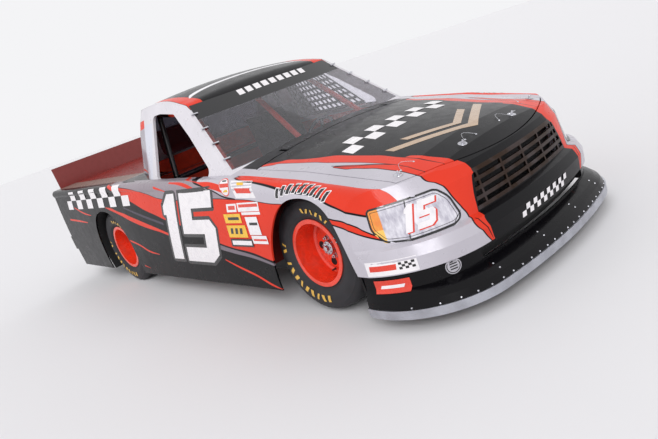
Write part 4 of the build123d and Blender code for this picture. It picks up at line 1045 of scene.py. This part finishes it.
def window_net(bm):
    """The driver's window net: straps of black webbing sewn crosswise."""
    # foot and head of the opening, each from rear to front: along, out, up
    foot = (Vector((-0.27, 0.835, 0.955)), Vector((0.6, 0.8, 0.955)))
    head = (Vector((-0.23, 0.7, 1.335)), Vector((0.26, 0.69, 1.335)))
    uprights, levels, half_strap = 13, 7, 0.0125
    straps = []
    for step in range(uprights + 1):
        low, high = (ends[0].lerp(ends[1], step / uprights) for ends in (foot, head))
        side = Vector((half_strap, 0, 0))
        straps.append((low - side, low + side, high + side, high - side))
    # the level straps lie just outside the upright ones
    for step in range(levels + 1):
        rear, front = (foot[i].lerp(head[i], step / levels) + Vector((0, 0.0025, 0)) for i in range(2))
        side = (head[0] - foot[0]).normalized() * half_strap
        straps.append((rear - side, front - side, front + side, rear + side))
    for corners in straps:
        bmesh.ops.contextual_create(bm, geom=[bm.verts.new(point) for point in corners])


bm = bmesh.new()
window_net(bm)
thickened(bm, 0.0016)
# the rods that carry the net, at its head and foot
rod(bm, ((-0.24, 0.7, 1.345), (0.27, 0.69, 1.345)), 0.006)
rod(bm, ((-0.28, 0.835, 0.945), (0.61, 0.8, 0.945)), 0.006)
finish_piece("window_net", bm, [cloth], "body")


LINER_RADIUS = 0.4
LINER_START = math.radians(75)
LINER_REACH = math.radians(137)


def arch_liner(bm, sign):
    """The sheet liner inside a rear wheel arch, rolled to a bow that clears the tyre; its near-black is painted shade
    for the dark inside the arch.
    """
    first = Vector((REAR_AXLE_X + LINER_RADIUS * math.cos(LINER_START), sign * 0.6,
                    TYRE_RADIUS + LINER_RADIUS * math.sin(LINER_START)))
    ends = [bm.verts.new(first), bm.verts.new(first + Vector((0, sign * 0.352, 0)))]
    edge = bm.edges.new(ends)
    bmesh.ops.spin(bm, geom=ends + [edge], cent=(REAR_AXLE_X, 0, TYRE_RADIUS), axis=(0, -1, 0), angle=LINER_REACH,
                   steps=24)


finish_piece("arch_liners", thickened(on_both_sides(arch_liner), 0.003), [painted_shade_black], "body")

# Fasteners along the foot of the air dam, and in pairs above them: across, up and radius
bolts = [(step * 0.0745, 0.128, 0.0055) for step in range(-13, 14)]
bolts += [(step * 0.19, up, 0.006) for step in (-3, -1, 1, 3) for up in (0.17, 0.19)]
bm = bmesh.new()
for across, up, radius in bolts:
    hit, normal, _, _ = nose_front.ray_cast(Vector((4, across, up)), Vector((-1, 0, 0)))
    if hit is not None:
        knob(bm, hit, normal, radius, 0.0035, 0, 12, 0.7)
finish_piece("dam_bolts", bm, [zinc], "body")


def hood_pin(bm, x, y):
    """A scuff plate with its pin and spring clip, and the wire that keeps the clip."""
    above, down = Vector((x, y, 3)), Vector((0, 0, -1))
    hit, normal, _, _ = hood_top.ray_cast(above, down)
    knob(bm, hit, normal, 0.026, 0.002, 0, 28, 0.96, 0.05)
    knob(bm, hit, normal, 0.006, 0.022, 0, 12, 0.8)
    up = hit + normal * 0.013
    side = Vector((0, 1 if y > 0 else -1, 0))
    for offset in (-0.0045, 0.0045):
        shift = Vector((offset, 0, 0))
        rod(bm, (up - side * 0.022 + shift, up + side * 0.036 + shift), 0.0014)
    knob(bm, up - side * 0.026, normal, 0.007, 0.003, 0, 16)
    # the wire lies on the hood from the clip to its rivet
    points = []
    for share in (0.0, 0.2, 0.4, 0.6, 0.8, 1.0):
        bow = math.sin(share * math.pi)
        away = -side * (0.03 + 0.11 * share) + Vector((-0.05 * bow, 0, 0))
        foot, _, _, _ = hood_top.ray_cast(above + away, down)
        points.append(foot + Vector((0, 0, 0.003 + 0.012 * bow)))
    for a, b in zip(points, points[1:]):
        rod(bm, (a, b), 0.0012, sides=6)
    knob(bm, points[-1] - Vector((0, 0, 0.003)), normal, 0.006, 0.004, 0, 12, 0.7)


bm = bmesh.new()
for x, y in ((2.146, 0.69), (2.26, 0.264)):
    for sign in SIDES.values():
        hood_pin(bm, x, sign * y)
finish_piece("hood_pins", bm, [zinc], "hood")


def screen_clips(bm, sign):
    """Clips that hold the windscreen to its pillar, from the foot up."""
    for share in (0.2, 0.42, 0.64, 0.86):
        x, z = 1.0 - 0.62 * share, 0.93 + 0.46 * share
        out = 0.858 - 0.172 * share - 0.03
        hit, normal, _, _ = screen_face.ray_cast(Vector((x + 1.2, sign * out, z + 0.9)), Vector((-0.8, 0, -0.6)))
        if hit is not None:
            inner = hit + normal * 0.004 - Vector((0, sign * 0.004, 0))
            outer = hit + normal * 0.006 + Vector((0, sign * 0.05, 0))
            rod(bm, (inner, outer), 0.007, 0, 8)


finish_piece("screen_clips", on_both_sides(screen_clips), [zinc], "body")


# Studio: pale floor, soft lamps, pale backdrop

CAMERA_PLACE = Vector((4.186, -2.8367, 1.4046))
CAMERA_TURN = (141.466, -14.705, -19.063)  # yaw, pitch and roll, degrees
CAMERA_LENS = 32.266
BACKDROP = "#F4F4F6"
FLOOR_TINT = "#E2E1E4"
WORLD_LIGHT = 0.72


def camera_at():
    """The camera of the photograph: place, and turn from yaw, pitch and roll."""
    yaw, pitch, roll = (math.radians(v) for v in CAMERA_TURN)
    ahead = Vector((math.cos(yaw) * math.cos(pitch), math.sin(yaw) * math.cos(pitch), math.sin(pitch)))
    level = ahead.cross(Vector((0, 0, 1))).normalized()
    upright = level.cross(ahead)
    right = math.cos(roll) * level + math.sin(roll) * upright
    up = math.cos(roll) * upright - math.sin(roll) * level
    turn = Matrix((right, up, -ahead)).transposed().to_4x4()
    return Matrix.Translation(CAMERA_PLACE) @ turn


scene = bpy.context.scene
scene.view_settings.view_transform = "Standard"
camera_data = bpy.data.cameras.new("camera")
camera_data.sensor_width = 36
camera_data.lens = CAMERA_LENS
camera = put("camera", camera_data)
camera.matrix_world = camera_at()
scene.camera = camera

bm = bmesh.new()
bmesh.ops.create_grid(bm, x_segments=1, y_segments=1, size=60)
floor_mesh = bpy.data.meshes.new("floor")
bm.to_mesh(floor_mesh)
bm.free()
floor_material, _, _ = begin("floor_paint")
floor_mesh.materials.append(shaded(floor_material, {"Roughness": 0.6, "Base Color": FLOOR_TINT}))
put("floor", floor_mesh)

# The world lights the object evenly; the camera, gloss, metal and glass see the pale backdrop instead
world = bpy.data.worlds.new("studio")
scene.world = world
world.use_nodes = True
tree = world.node_tree
tree.nodes.clear()
rays = add(tree, "LightPath").node.outputs
seen = rays["Is Camera Ray"]
for kind in ("Is Glossy Ray", "Is Transmission Ray"):
    seen = add(tree, "Math", (seen, rays[kind]), operation="MAXIMUM")
lit = add(tree, "Background", ("#FFFFFF", WORLD_LIGHT))
backdrop = add(tree, "Background", (BACKDROP, 1))
add(tree, "OutputWorld", {"Surface": add(tree, "MixShader", (seen, lit, backdrop))})

# Each lamp: direction it shines from, strength, and softness in degrees; only the key shows in gloss
for name, direction, strength, softness in (
    ("key", (6.5, -5.5, 6.0), 1.15, 28),
    ("fill", (-4.0, -8.0, 5.0), 0.5, 50),
    ("back", (-4.5, 7.0, 6.0), 0.5, 50),
):
    sun = bpy.data.lights.new(name, "SUN")
    sun.energy = strength
    sun.angle = math.radians(softness)
    lamp = put(name, sun)
    lamp.visible_glossy = name == "key"
    lamp.rotation_euler = (-Vector(direction)).to_track_quat("-Z", "Y").to_euler()
